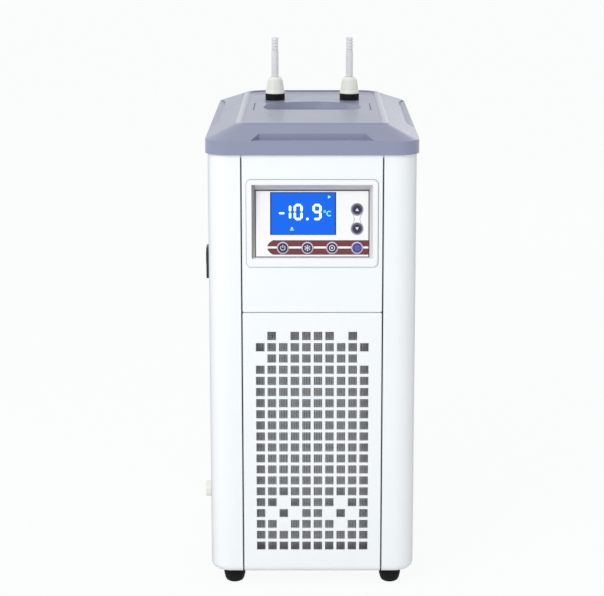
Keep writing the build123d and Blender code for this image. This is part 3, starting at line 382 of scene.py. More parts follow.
@dataclass(frozen=True)
class LeaningPlane:
    """The plane of the control foil: x across, v up along the plane, w out of it."""

    lean: float = math.radians(7.0)
    foil_low: float = 1.2 * MM
    foil_high: float = 70.6 * MM

    def origin(self) -> Vector:
        """Return the foot of the plane, worked out from the foil's node."""
        low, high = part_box("keypad_overlay")
        y = high.y - self.foil_high * math.sin(self.lean)
        return Vector((0.0, y, low.z - self.foil_low * math.cos(self.lean)))

    def point(self, x: float, v: float, w: float) -> Vector:
        """Turn a place on the plane into a place in the frame.

        Args:
            x: across.
            v: up along the plane.
            w: out of the plane.

        Returns:
            The point in metres.
        """
        up = Vector((0.0, math.sin(self.lean), math.cos(self.lean)))
        out = Vector((0.0, -math.cos(self.lean), math.sin(self.lean)))
        return self.origin() + Vector((x, 0.0, 0.0)) + up * v + out * w

    def v_of(self, point: Vector) -> float:
        """Return how far up the plane a point lies."""
        away = point - self.origin()
        return away.y * math.sin(self.lean) + away.z * math.cos(self.lean)

    def centre(self, node: str) -> Point:
        """Return the centre of a node's box as (x, v)."""
        low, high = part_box(node)
        middle = (low + high) / 2
        return middle.x, self.v_of(middle)

    def masks(self, graph: Graph) -> tuple[Sum, Sum]:
        """Return x and v as sums for a print.

        Args:
            graph: the material's graph.

        Returns:
            The two coordinates in metres.
        """
        x, y, z = graph.axes()
        start = self.origin()
        return x, (y - start.y) * math.sin(self.lean) + (z - start.z) * math.cos(self.lean)

    def away(self, graph: Graph, node: str) -> Sum:
        """Return the distance from a node's centre, measured on the plane.

        Args:
            graph: the material's graph.
            node: the node.

        Returns:
            The distance in metres.
        """
        centre = self.centre(node)
        x, v = self.masks(graph)
        across, up = x - centre[0], v - centre[1]
        return (across * across + up * up) ** 0.5


PLANE = LeaningPlane()


@dataclass(frozen=True)
class PrintedFoil(Finish):
    """White foil with a split dark red band, a pale halo at each key and a dark rim: a joint line round its
    edge, drawn wider along the top as painted shadow under the frame's top wall.
    """

    band_colour: Colour = srgb(112, 50, 54)
    rim_and_shadow_colour: Colour = srgb(46, 40, 46)
    link_colour: Colour = srgb(150, 150, 160)
    halo_colour: Colour = srgb(232, 224, 244)
    arrow_colour: Colour = srgb(120, 118, 140)
    band_low: float = 3.9 * MM
    band_high: float = 18.9 * MM
    split: float = 2.1 * MM
    band_left: float = -46.0 * MM
    end_length: float = 6.0 * MM
    halo: float = 6.3 * MM
    arrow_halo: float = 6.6 * MM
    arrow_share: float = 0.75
    link_reach: float = 5.8 * MM
    link_waist: float = 2.9 * MM
    link_flare: float = 2.4 * MM
    link_line: float = 0.28 * MM
    rim: float = 0.9 * MM
    head_rim_and_shadow: float = 1.26 * MM
    spot_soft: float = 0.3 * MM
    soft: float = 0.25 * MM
    row: tuple[str, ...] = ("key_power", "key_cool", "key_circulate", "key_set")
    arrows: tuple[str, ...] = ("key_up", "key_down")

    def spots(self, graph: Graph, keys: Sequence[str], radius: float) -> Sum:
        """Mask of the round spots behind some keys.

        Args:
            graph: the material's graph.
            keys: the keys' nodes.
            radius: the spots' radius.

        Returns:
            The mask.
        """
        return reduce(Sum.most, [PLANE.away(graph, key).under(radius, self.spot_soft) for key in keys])

    def band(self, x: Sum, v: Sum) -> Sum:
        """Mask of the split band with its rounded left end."""
        middle, half = (self.band_low + self.band_high) / 2, (self.band_high - self.band_low) / 2
        off = abs(v - middle)
        end = ((off / half) ** 2.5) * self.end_length + self.band_left
        split = 1 - off.under(self.split / 2, self.soft)
        return off.under(half, self.soft) * split * (end - x).under(0.0, self.soft)

    def link(self, x: Sum, v: Sum) -> Sum:
        """Mask of the two waisted lines that join the arrow keys."""
        low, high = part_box(self.arrows[1])[0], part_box(self.arrows[0])[1]
        up, across = v - PLANE.v_of((low + high) / 2), x - (low.x + high.x) / 2
        waist = (up / self.link_reach) ** 2 * self.link_flare + self.link_waist
        line = abs(abs(across) - waist).under(self.link_line, self.soft)
        return line * abs(up).under(self.link_reach, self.soft)

    def tone(self, graph: Graph) -> Sum:
        """Return the print's colour."""
        x, v = PLANE.masks(graph)
        tone = graph.mix(self.band(x, v), self.colour, self.band_colour)
        tone = graph.mix(self.spots(graph, self.row, self.halo), tone, self.halo_colour)
        tone = graph.mix(self.link(x, v), tone, self.link_colour)
        arrows = self.spots(graph, self.arrows, self.arrow_halo) * self.arrow_share
        tone = graph.mix(arrows, tone, self.arrow_colour)
        # Dark rim: a joint line round the foil, wider along the top where it is painted shadow cast by the
        # frame's top wall.
        low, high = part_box("keypad_overlay")
        inside = (low.x - x).most(x - high.x) + self.rim
        inside = inside.most(PLANE.foil_low + self.rim - v).most(v - PLANE.foil_high + self.head_rim_and_shadow)
        return graph.mix(1 - inside.under(0.0, self.soft), tone, self.rim_and_shadow_colour)


@dataclass(frozen=True)
class BezelPlastic(Finish):
    """White frame with painted shade on its pocket walls, darkest on the left wall, as the light falls."""

    left_wall_shade: Colour = srgb(172, 171, 170)
    top_wall_shade: Colour = srgb(216, 214, 220)
    right_wall_shade: Colour = srgb(226, 223, 225)
    side_margin: float = 5.3 * MM
    foot_margin: float = 8.8 * MM
    head_margin: float = 5.0 * MM
    soft: float = 0.2 * MM

    def past(self, value: Sum) -> Sum:
        """Mask that is 1 where a value is under 0."""
        return value.under(0.0, self.soft)

    def tone(self, graph: Graph) -> Sum:
        """Return white, with painted shade on the walls beside and above the foil."""
        low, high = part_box("display_bezel")
        foil_low, foil_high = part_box("keypad_overlay")
        x, v = PLANE.masks(graph)
        z = graph.axes()[2]
        pocket = self.past(low.x + self.side_margin - x) * self.past(x - high.x + self.side_margin)
        pocket = pocket * self.past(low.z + self.foot_margin - z)
        pocket = pocket * self.past(z - (high.z - self.head_margin))
        # Painted shade on the top, left and right walls of the pocket.
        tone = graph.mix(self.past(PLANE.foil_high - v) * pocket, self.colour, self.top_wall_shade)
        tone = graph.mix(self.past(x - foil_low.x) * pocket, tone, self.left_wall_shade)
        return graph.mix(self.past(foil_high.x - x) * pocket, tone, self.right_wall_shade)


@dataclass(frozen=True)
class LidPlastic(Finish):
    """Moulded cover with painted shade along its rear edge and painted light that makes the hand scoop
    paler.
    """

    rear_shade_tone: Colour = srgb(104, 108, 130)
    scoop_light_tone: Colour = srgb(190, 194, 208)
    rear_shade_from: float = 92.0 * MM
    rear_shade_soft: float = 12.0 * MM
    top_skin: float = 1.5 * MM
    scoop_half_x: float = 60.0 * MM
    scoop_half_y: float = 45.0 * MM
    scoop_ends: float = 44.0 * MM
    ends_soft: float = 16.0 * MM
    rim_drop: float = 0.4 * MM
    soft: float = 0.5 * MM
    rear_shade_share: float = 0.8
    scoop_light_share: float = 0.3
    ends_light_share: float = 0.5

    def tone(self, graph: Graph) -> Sum:
        """Return the cover's colour, with painted shade at the rear and painted light in the scoop."""
        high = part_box("top_cover")[1]
        x, y, z = graph.axes()
        # Painted shade along the rear of the top face, where it curves away from the light.
        rear_shade = (high.y - self.rear_shade_from - y).under(0.0, self.rear_shade_soft)
        rear_shade = rear_shade * (high.z - z).under(self.top_skin, self.soft)
        # Painted light that makes the hand scoop paler, more so towards its ends.
        inside = abs(x).under(self.scoop_half_x, MM) * abs(y).under(self.scoop_half_y, MM)
        inside = inside * z.under(high.z - self.rim_drop, self.soft)
        ends = 1 - abs(x).under(self.scoop_ends, self.ends_soft)
        tone = graph.mix(rear_shade * self.rear_shade_share, self.colour, self.rear_shade_tone)
        return graph.mix(inside * (ends * self.ends_light_share + self.scoop_light_share), tone, self.scoop_light_tone)


@dataclass(frozen=True)
class BeadPlastic(LidPlastic):
    """The cover's plastic on the bead, with a painted highlight along both sides."""

    side_highlight_tone: Colour = srgb(192, 196, 208)
    side_reach: float = 36.0 * MM
    side_soft: float = 6.0 * MM
    rear_reach: float = 70.0 * MM
    rear_soft: float = 20.0 * MM
    front_reach: float = 32.0 * MM
    front_soft: float = 2.0 * MM

    def tone(self, graph: Graph) -> Sum:
        """Return the cover's colour with a painted highlight along both sides."""
        low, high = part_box("top_cover")
        x, y, _ = graph.axes()
        # Painted highlight along both sides of the bead.
        sides = (high.x - self.side_reach - abs(x)).under(0.0, self.side_soft)
        sides = sides * y.under(high.y - self.rear_reach, self.rear_soft)
        sides = sides * (low.y + self.front_reach - y).under(0.0, self.front_soft)
        return graph.mix(sides, super().tone(graph), self.side_highlight_tone)


@dataclass(frozen=True)
class KeyCap(Finish):
    """Dark round key with a pale ring round its edge."""

    node: str = "key_power"
    ring_colour: Colour = srgb(226, 214, 240)
    ring_from: float = 5.1 * MM
    soft: float = 0.35 * MM

    def tone(self, graph: Graph) -> Sum:
        """Return the dark centre inside its ring."""
        inside = PLANE.away(graph, self.node).under(self.ring_from, self.soft)
        return graph.mix(inside, self.ring_colour, self.colour)


@dataclass(frozen=True)
class LitDisplay(Finish):
    """Back-lit blue display with a dark edge."""

    edge_colour: Colour = srgb(20, 34, 96)
    edge: float = 1.0 * MM
    side: float = 3.2 * MM
    foot: float = 3.2 * MM
    head: float = 1.7 * MM
    soft: float = 0.7 * MM
    cell_turns: float = 9000.0
    cell_depth: float = 0.04
    glow: float = 0.3

    def dress(self, graph: Graph) -> None:
        """Fill the shader with a faint cell grid and the glow.

        Args:
            graph: the material's graph.
        """
        low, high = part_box("lcd_module")
        x, v = PLANE.masks(graph)
        bottom, top = PLANE.v_of(low) + self.foot, PLANE.v_of(high) - self.head
        inside = (low.x + self.side - x).most(x - high.x + self.side).most(bottom - v).most(v - top)
        lit = (inside + self.edge).under(0.0, self.soft)
        cells = 1 - (x * self.cell_turns).sine() * (v * self.cell_turns).sine()
        shade = graph.mix(cells * self.cell_depth, graph.mix(lit, self.edge_colour, self.colour), BLACK)
        graph.set(Base_Color=shade, Roughness=0.22, Specular_IOR_Level=0.15)
        graph.set(Emission_Color=shade, Emission_Strength=self.glow)


class Metal(Enum):
    """The bare metals inside: colour, roughness, metallic share and the axis of the grain."""

    ZINC = ((0.55, 0.56, 0.57), 0.38, 1.0, "X")
    STAINLESS = ((0.62, 0.61, 0.60), 0.26, 1.0, "X")
    FIN = ((0.62, 0.63, 0.64), 0.42, 0.3, "Z")
    COPPER = ((0.78, 0.36, 0.22), 0.28, 1.0, "X")

    def finish(self, name: str) -> BrushedMetal:
        """Return the metal's brushed finish.

        Args:
            name: the material's name.

        Returns:
            The finish.
        """
        colour, roughness, metallic, along = self.value
        return BrushedMetal(name, colour, roughness, metallic, along=along)


MOULDED = dict(colour=srgb(143, 148, 173), roughness=0.34, coat=0.1, grain=2600.0, depth=0.00003)
BEAD = BeadPlastic("bead_plastic", **MOULDED)
# Dark grey of the painted shade in the seams behind the folds.
SEAM_FOLD_SHADE = Finish("fold_paint", srgb(56, 58, 62), 0.6, drift=0.1)
# Grey of the painted shade in the level seam behind its fold.
LEVEL_FOLD_SHADE = Finish("level_fold_paint", srgb(168, 171, 175), 0.6, drift=0.05)
# Grey of the joint round the display frame, partly painted shadow under its raised edge.
JOINT_SHADOW = Finish("bezel_joint", srgb(150, 152, 154), 0.6, drift=0.05)
FINISHES: dict[str, Finish] = {
    # The powder coat carries painted shade on its outlines (edge=1.0).
    "white_shell": Finish(
        "powder_coat", srgb(249, 252, 254), 0.38, coat=0.15, grain=900.0, depth=0.00003, drift=0.02, edge=1.0
    ),
    "lid_plastic": LidPlastic("lid_plastic", **MOULDED),
    "bezel_plastic": BezelPlastic(
        "bezel_plastic", srgb(250, 251, 253), 0.3, grain=2600.0, depth=0.00001, drift=0.02
    ),
    "overlay_print": PrintedFoil("printed_foil", srgb(252, 251, 252), 0.35, grain=3000.0, depth=0.000005),
    "lcd": LitDisplay("lit_display", srgb(16, 96, 220)),
    "board": Finish("circuit_board", srgb(24, 92, 52), 0.4, grain=900.0),
    "black_plastic": Finish("black_plastic", srgb(34, 35, 38), 0.45, grain=3000.0, depth=0.00004),
    "rubber": Finish(
        "rubber", srgb(14, 15, 16), 0.7, grain=1800.0, depth=0.00006, drift=0.15, shine=0.2
    ),
    "natural_plastic": Finish("natural_plastic", srgb(244, 244, 236), 0.35, grain=2000.0, depth=0.00001),
    "black_steel": Finish("black_enamel", srgb(30, 31, 33), 0.32, coat=0.3, grain=400.0, depth=0.00006),
    "foam": Finish("foam", srgb(38, 38, 40), 0.9, grain=700.0, depth=0.0003, drift=0.3),
    "steel": Metal.ZINC.finish("zinc_sheet"),
    "stainless": Metal.STAINLESS.finish("stainless"),
    "aluminium": Metal.FIN.finish("fin_stock"),
    "copper": Metal.COPPER.finish("copper_tube"),
}


def clear_plastic() -> Material:
    """Return the see-through plastic of the hose tails: painted shade greys the edges where the tube turns
    from the eye, around a bright core.
    """
    graph = Graph("clear_plastic")
    flow = graph.noise(60.0, 1.0)
    # Painted shade: greyer where the tube turns from the eye.
    facing = graph.facing() ** 1.5
    graph.set(
        Base_Color=graph.mix(facing, srgb(254, 255, 255), srgb(186, 194, 200)),
        Roughness=flow * 0.05 + 0.1,
        Alpha=facing * 0.3 + 0.62,
        Coat_Weight=0.3,
    )
    return graph.material


def glowing(name: str, colour: Colour, glow: float) -> Material:
    """Return a lit print for the display's figures.

    Args:
        name: the material's name.
        colour: its linear colour.
        glow: emission strength.

    Returns:
        The material.
    """
    graph = Graph(name)
    tone = graph.mix(graph.noise(4000.0, 1.0) * 0.06, colour, (0.2, 0.5, 0.9))
    graph.set(Base_Color=tone, Roughness=0.3, Emission_Color=tone, Emission_Strength=glow)
    return graph.material


def as_given(x: float, y: float, z: float) -> Vector:
    """Return the point itself, for shapes drawn straight in the frame."""
    return Vector((x, y, z))


@dataclass
class Pen:
    """Draws closed shapes of one thickness on a surface, then finishes them as a piece."""

    place: Callable[[float, float, float], Vector] = as_given
    low: float = 0.0
    high: float = PROUD
    mesh: Any = field(default_factory=bmesh.new)

    def slab(self, outline: Sequence[Point], low: float, high: float) -> None:
        """Add a closed plate over an outline.

        Args:
            outline: the corners in order.
            low: height of the plate's back.
            high: height of the plate's front.
        """
        backs = [self.mesh.verts.new(self.place(x, v, low)) for x, v in outline]
        fronts = [self.mesh.verts.new(self.place(x, v, high)) for x, v in outline]
        self.mesh.faces.new(fronts)
        self.mesh.faces.new(backs[::-1])
        for index, back in enumerate(backs):
            after = (index + 1) % len(backs)
            self.mesh.faces.new((back, backs[after], fronts[after], fronts[index]))

    def shape(self, outline: Sequence[Point]) -> None:
        """Add a shape of the pen's own thickness."""
        self.slab(outline, self.low, self.high)

    def bar(self, low: Point, high: Point) -> None:
        """Add a rectangle between two corners."""
        self.shape([low, (high[0], low[1]), high, (low[0], high[1])])

    def box(self, low: Vector, high: Vector) -> None:
        """Add a box between two corners of the frame."""
        self.slab([(low.x, low.y), (high.x, low.y), (high.x, high.y), (low.x, high.y)], low.z, high.z)

    def stroke(self, start: Vector, along: Vector, length: float, half: float) -> None:
        """Add a straight stroke.

        Args:
            start: the middle of its first end.
            along: its direction, of length 1.
            length: its length.
            half: half its width.
        """
        side, tip = Vector((-along.y, along.x)) * half, start + along * length
        self.shape([tuple(corner) for corner in (start + side, tip + side, tip - side, start - side)])

    def disc(self, centre: Point, radius: float, steps: int = 16) -> None:
        """Add a spot with many sides.

        Args:
            centre: its centre.
            radius: its radius.
            steps: its sides.
        """
        turns = [2 * math.pi * step / steps for step in range(steps)]
        self.shape([(centre[0] + radius * math.cos(a), centre[1] + radius * math.sin(a)) for a in turns])

    def arc(self, centre: Point, radii: Point, turns: Point = WHOLE_TURN) -> None:
        """Add a curved bar between two radii.

        Args:
            centre: the arc's centre.
            radii: inner and outer radius.
            turns: start and end angle in radians.
        """
        angles = [turns[0] + (turns[1] - turns[0]) * step / ARC_STEPS for step in range(ARC_STEPS + 1)]
        ends = [(radii[1], angle) for angle in angles] + [(radii[0], angle) for angle in reversed(angles)]
        self.shape([(centre[0] + r * math.cos(a), centre[1] + r * math.sin(a)) for r, a in ends])

    def piece(self, name: str, material: Material, slot: str, body: str = HOUSING) -> None:
        """Finish what was drawn as a piece on a body.

        Args:
            name: the piece's name.
            material: its finish.
            slot: the record's slot; not used.
            body: the body it rides on.
        """
        bmesh.ops.remove_doubles(self.mesh, verts=self.mesh.verts, dist=1e-7)
        bmesh.ops.recalc_face_normals(self.mesh, faces=self.mesh.faces)
        data = bpy.data.meshes.new(name)
        self.mesh.to_mesh(data)
        self.mesh.free()
        data.materials.append(material)
        piece = bpy.data.objects.new(name, data)
        bpy.context.scene.collection.objects.link(piece)
        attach(piece, body)
        LOG.info("%s: %d faces on %s", name, len(data.polygons), body)


@dataclass
class Display:
    """The lit figures of the display, built from seven-segment strokes."""

    digit_width: float = 9.4 * MM
    digit_height: float = 16.8 * MM
    stroke: float = 2.5 * MM
    gap_share: float = 0.12
    shoulder_share: float = 0.38
    base_v: float = 39.4 * MM
    face: float = 0.2 * MM
    digits: tuple[tuple[str, float], ...] = (("1", -30.9 * MM), ("0", -19.1 * MM), ("9", 0.3 * MM))
    lit: dict[str, str] = field(default_factory=lambda: {"0": "abcdef", "1": "bc", "9": "abcdfg"})
    minus: Point = (-34.6 * MM, -28.0 * MM)
    minus_stroke: float = 2.0 * MM
    minus_drop: float = 1.3 * MM
    point_x: float = -4.9 * MM
    point_radius: float = 1.375 * MM
    degree: Point = (12.8 * MM, 48.3 * MM)
    letter: Point = (17.4 * MM, 46.2 * MM)
    play: Point = (17.2 * MM, 63.3 * MM)
    play_reach: Point = (2.0 * MM, 1.7 * MM)
    bell: Point = (-20.8 * MM, 30.4 * MM)
    bell_foot: tuple[Point, Point] = ((-23.0 * MM, 28.9 * MM), (-18.6 * MM, 29.7 * MM))
    mark_ring: Point = (3.1 * MM, 3.7 * MM)

    def segment(self, name: str) -> tuple[Point, Point]:
        """Return the two ends of a segment's centre line in a digit's own frame.

        Args:
            name: a letter from a to g.

        Returns:
            The start and end points.
        """
        inset, half = self.stroke / 2, self.digit_height / 2
        left, right, top = inset, self.digit_width - inset, self.digit_height - inset
        return {
            "a": ((left, top), (right, top)),
            "b": ((right, top), (right, half)),
            "c": ((right, half), (right, inset)),
            "d": ((left, inset), (right, inset)),
            "e": ((left, half), (left, inset)),
            "f": ((left, top), (left, half)),
            "g": ((left, half), (right, half)),
        }[name]

    def bar(self, pen: Pen, start: Point, end: Point, width: float) -> None:
        """Add a stroke with pointed ends.

        Args:
            pen: the pen to draw with.
            start: the first end.
            end: the second end.
            width: the stroke's width.
        """
        along = Vector((end[0] - start[0], end[1] - start[1])).normalized()
        side = Vector((-along.y, along.x)) * width / 2
        gap, shoulder = along * width * self.gap_share, along * width * self.shoulder_share
        first, last = Vector(start) + gap, Vector(end) - gap
        corners = [first, first + shoulder + side, last - shoulder + side, last]
        corners += [last - shoulder - side, first + shoulder - side]
        pen.shape([tuple(corner) for corner in corners])

    def pen(self) -> Pen:
        """Return a pen that draws on the display's face."""
        return Pen(PLANE.point, self.face, self.face + PROUD)

    def figures(self) -> None:
        """Make the minus, the digits and their point."""
        pen = self.pen()
        for digit, x in self.digits:
            for name in self.lit[digit]:
                start, end = [(x + across, self.base_v + up) for across, up in self.segment(name)]
                self.bar(pen, start, end, self.stroke)
        level = self.base_v + self.digit_height / 2 - self.minus_drop
        self.bar(pen, (self.minus[0], level), (self.minus[1], level), self.minus_stroke)
        pen.disc((self.point_x, self.base_v + self.stroke / 2), self.point_radius)
        pen.piece("display_figures", glowing("display_figures", srgb(214, 246, 255), 0.75), "lcd")

    def marks(self) -> None:
        """Make the unit sign, a play mark and a bell."""
        pen = self.pen()
        pen.arc(self.degree, (0.6 * MM, 1.2 * MM))
        pen.arc(self.letter, (1.8 * MM, 2.8 * MM), (0.8, 5.5))
        (x, v), (wide, tall) = self.play, self.play_reach
        pen.shape([(x - wide / 2, v - tall), (x + wide, v), (x - wide / 2, v + tall)])
        pen.disc((self.bell[0], self.bell[1] + 0.6 * MM), 1.3 * MM, 6)
        pen.bar(*self.bell_foot)
        pen.piece("display_marks", glowing("display_marks", srgb(120, 226, 250), 0.7), "lcd")
        pen = self.pen()
        for centre in (self.play, self.bell):
            pen.arc(centre, self.mark_ring)
        pen.piece("display_rings", glowing("display_rings", srgb(14, 70, 190), 0.2), "lcd")


@dataclass
class Keypad:
    """Signs on the six keys, each riding on its own key."""

    cap_top: float = 1.5 * MM
    ink: Colour = srgb(226, 224, 240)
    faint: Colour = srgb(120, 120, 190)
    dark: Colour = srgb(44, 38, 66)
    blue: Colour = srgb(72, 70, 150)
    arrow_cap: Colour = srgb(40, 36, 62)
    arrow_ring: Colour = srgb(104, 100, 128)
    arrow_ring_from: float = 4.3 * MM

    def power(self, pen: Pen, x: float, v: float) -> None:
        """Draw an open ring with a bar in its gap."""
        pen.arc((x, v), (2.0 * MM, 2.7 * MM), (math.radians(125), math.radians(415)))
        half, low, high = 0.4 * MM, 0.3 * MM, 3.2 * MM
        pen.bar((x - half, v + low), (x + half, v + high))

    def snow(self, pen: Pen, x: float, v: float) -> None:
        """Draw a six-armed crystal."""
        centre, arm, fork, twig = Vector((x, v)), 3.2 * MM, 1.9 * MM, 1.2 * MM
        for step in range(6):
            turn = step * math.pi / 3 + math.pi / 6
            along = Vector((math.cos(turn), math.sin(turn)))
            side = Vector((-along.y, along.x))
            pen.stroke(centre, along, arm, 0.4 * MM)
            for lean in (-1, 1):
                pen.stroke(centre + along * fork, (along + side * lean).normalized(), twig, 0.25 * MM)

    def pump(self, pen: Pen, x: float, v: float) -> None:
        """Draw a ring round a dot."""
        pen.arc((x, v), (2.3 * MM, 3.1 * MM))
        pen.disc((x, v), 1.0 * MM)

    def menu(self, pen: Pen, x: float, v: float) -> None:
        """Draw three short bars."""
        reach, half, gap = 2.2 * MM, 0.3 * MM, 1.5 * MM
        for step in (-1, 0, 1):
            middle = v + step * gap
            pen.bar((x - reach, middle - half), (x + reach, middle + half))

    def arrow(self, pen: Pen, x: float, v: float, up: int = 1) -> None:
        """Draw a triangle that points up, or down where up is -1."""
        wide, tall = 1.9 * MM, up * 1.6 * MM
        pen.shape([(x - wide, v - tall), (x + wide, v - tall), (x, v + tall)])

    def build(self, nodes: dict[str, Any]) -> None:
        """Dress the keys and make their signs.

        Args:
            nodes: the frame's nodes by name.
        """
        ink = Finish("key_ink", self.ink, 0.4).build()
        faint = Finish("key_ink_faint", self.faint, 0.4).build()
        arrow = {"ring_colour": self.arrow_ring, "ring_from": self.arrow_ring_from}
        for node, tone, ring, draw, paint in (
            ("key_power", self.dark, {}, self.power, ink),
            ("key_cool", self.dark, {}, self.snow, ink),
            ("key_circulate", self.dark, {}, self.pump, ink),
            ("key_set", self.blue, {}, self.menu, faint),
            ("key_up", self.arrow_cap, arrow, self.arrow, ink),
            ("key_down", self.arrow_cap, arrow, partial(self.arrow, up=-1), ink),
        ):
            nodes[node].data.materials[0] = KeyCap(f"{node}_cap", tone, 0.35, node=node, **ring).build()
            pen = Pen(PLANE.point, self.cap_top, self.cap_top + PROUD)
            draw(pen, *PLANE.centre(node))
            pen.piece(f"{node}_sign", paint, "key", node)


def dress(nodes: dict[str, Any], record: dict[str, Any]) -> dict[str, Material]:
    """Give every node its finish by its slot.

    Args:
        nodes: the frame's nodes by name.
        record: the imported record.

    Returns:
        The materials by slot.
    """
    made = {slot: finish.build() for slot, finish in FINISHES.items()}
    made["clear_plastic"] = clear_plastic()
    made["key"] = made["rubber"]
    for part in record["subparts"]:
        node = nodes[part["node"]]
        node.data.materials.clear()
        node.data.materials.append(made[part["material_slot"]])
        LOG.info("%s: %s", part["node"], part["material_slot"])
    return made


@dataclass
class Recipe:
    """A Geometry Nodes tree with named sizes, run once and turned into a plain mesh."""

    name: str
    tree: Any = field(init=False)
    source: Any = field(init=False)
    sizes: dict[str, Any] = field(default_factory=dict)

    def __post_init__(self) -> None:
        """Start the tree with its output socket and its group input."""
        self.tree = bpy.data.node_groups.new(self.name, "GeometryNodeTree")
        self.tree.interface.new_socket("Geometry", in_out="OUTPUT", socket_type="NodeSocketGeometry")
        self.source = self.tree.nodes.new("NodeGroupInput")

    def size(self, name: str, value: Any) -> Any:
        """Add a named input.

        Args:
            name: what the size is.
            value: a whole number, a length in metres or a vector.

        Returns:
            The socket that carries it inside the tree.
        """
        kinds = {int: "NodeSocketInt", float: "NodeSocketFloat", Vector: "NodeSocketVector"}
        made = self.tree.interface.new_socket(name, in_out="INPUT", socket_type=kinds[type(value)])
        self.sizes[made.identifier] = value
        return self.source.outputs[name]

    def node(self, kind: str, settings: dict[str, Any], inputs: dict[Any, Any], output: Any = 0) -> Any:
        """Add a node.

        Args:
            kind: the node's type.
            settings: its properties.
            inputs: a socket, a list of sockets or a value for each input.
            output: the output to return.

        Returns:
            The chosen output socket.
        """
        made = self.tree.nodes.new(kind)
        for key, value in settings.items():
            setattr(made, key, value)
        for key, value in inputs.items():
            for item in value if isinstance(value, list) else [value]:
                if isinstance(item, bpy.types.NodeSocket):
                    self.tree.links.new(item, made.inputs[key])
                else:
                    made.inputs[key].default_value = item
        return made.outputs[output]

    def vector(self, x: Any, y: Any, z: Any) -> Any:
        """Join three numbers or sockets into a vector."""
        return self.node("ShaderNodeCombineXYZ", {}, {0: x, 1: y, 2: z})

    def moved(self, geometry: Any, place: Any) -> Any:
        """Shift a geometry."""
        return self.node("GeometryNodeTransform", {}, {"Geometry": geometry, "Translation": place})

    def joined(self, *parts: Any) -> Any:
        """Join geometries."""
        return self.node("GeometryNodeJoinGeometry", {}, {0: list(parts)})

    def bake(self, geometry: Any, material: Material, body: str) -> Any:
        """Run the tree and keep its result as a piece.

        Args:
            geometry: the tree's last geometry.
            material: the finish.
            body: the body it rides on.

        Returns:
            The object.
        """
        real = self.node("GeometryNodeRealizeInstances", {}, {"Geometry": geometry})
        coated = self.node("GeometryNodeSetMaterial", {}, {"Geometry": real, "Material": material})
        self.tree.links.new(coated, self.tree.nodes.new("NodeGroupOutput").inputs[0])
        piece = bpy.data.objects.new(self.name, bpy.data.meshes.new(f"{self.name}_start"))
        bpy.context.scene.collection.objects.link(piece)
        modifier = piece.modifiers.new(self.name, "NODES")
        modifier.node_group = self.tree
        for identifier, value in self.sizes.items():
            modifier[identifier] = value
        depsgraph = bpy.context.evaluated_depsgraph_get()
        data = bpy.data.meshes.new_from_object(piece.evaluated_get(depsgraph))
        piece.modifiers.clear()
        piece.data = data
        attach(piece, body)
        LOG.info("%s: %d faces on %s", self.name, len(data.polygons), body)
        return piece


@dataclass
class FinPack:
    """The condenser's close fins, in front of and behind its tubes."""

    pitch: float = 1.75 * MM
    thickness: float = 1.2 * MM
    depth: float = 11.0 * MM

    def build(self, material: Material) -> None:
        """Make the pack in place of the coarse fins.

        Args:
            material: the fin stock.
        """
        low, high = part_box("condenser_fins")
        recipe = Recipe("fin_pack")
        pitch, thickness = recipe.size("Pitch", self.pitch), recipe.size("Thickness", self.thickness)
        depth, height = recipe.size("Depth", self.depth), recipe.size("Height", high.z - low.z)
        count = recipe.size("Count", int((high.x - low.x) / self.pitch))
        first = Vector((low.x + self.thickness, low.y + self.depth / 2, (low.z + high.z) / 2))
        start = recipe.size("Start", first)
        behind = recipe.size("Row step", Vector((0.0, high.y - low.y - self.depth, 0.0)))
        line = {"Count": count, "Start Location": start, "Offset": recipe.vector(pitch, 0.0, 0.0)}
        points = recipe.node("GeometryNodeMeshLine", {}, line)
        fin = recipe.node("GeometryNodeMeshCube", {}, {"Size": recipe.vector(thickness, depth, height)})
        row = recipe.node("GeometryNodeInstanceOnPoints", {}, {"Points": points, "Instance": fin})
        pack = recipe.joined(row, recipe.moved(row, behind))
        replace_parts(recipe.bake(pack, material, HOUSING), "condenser_fins")


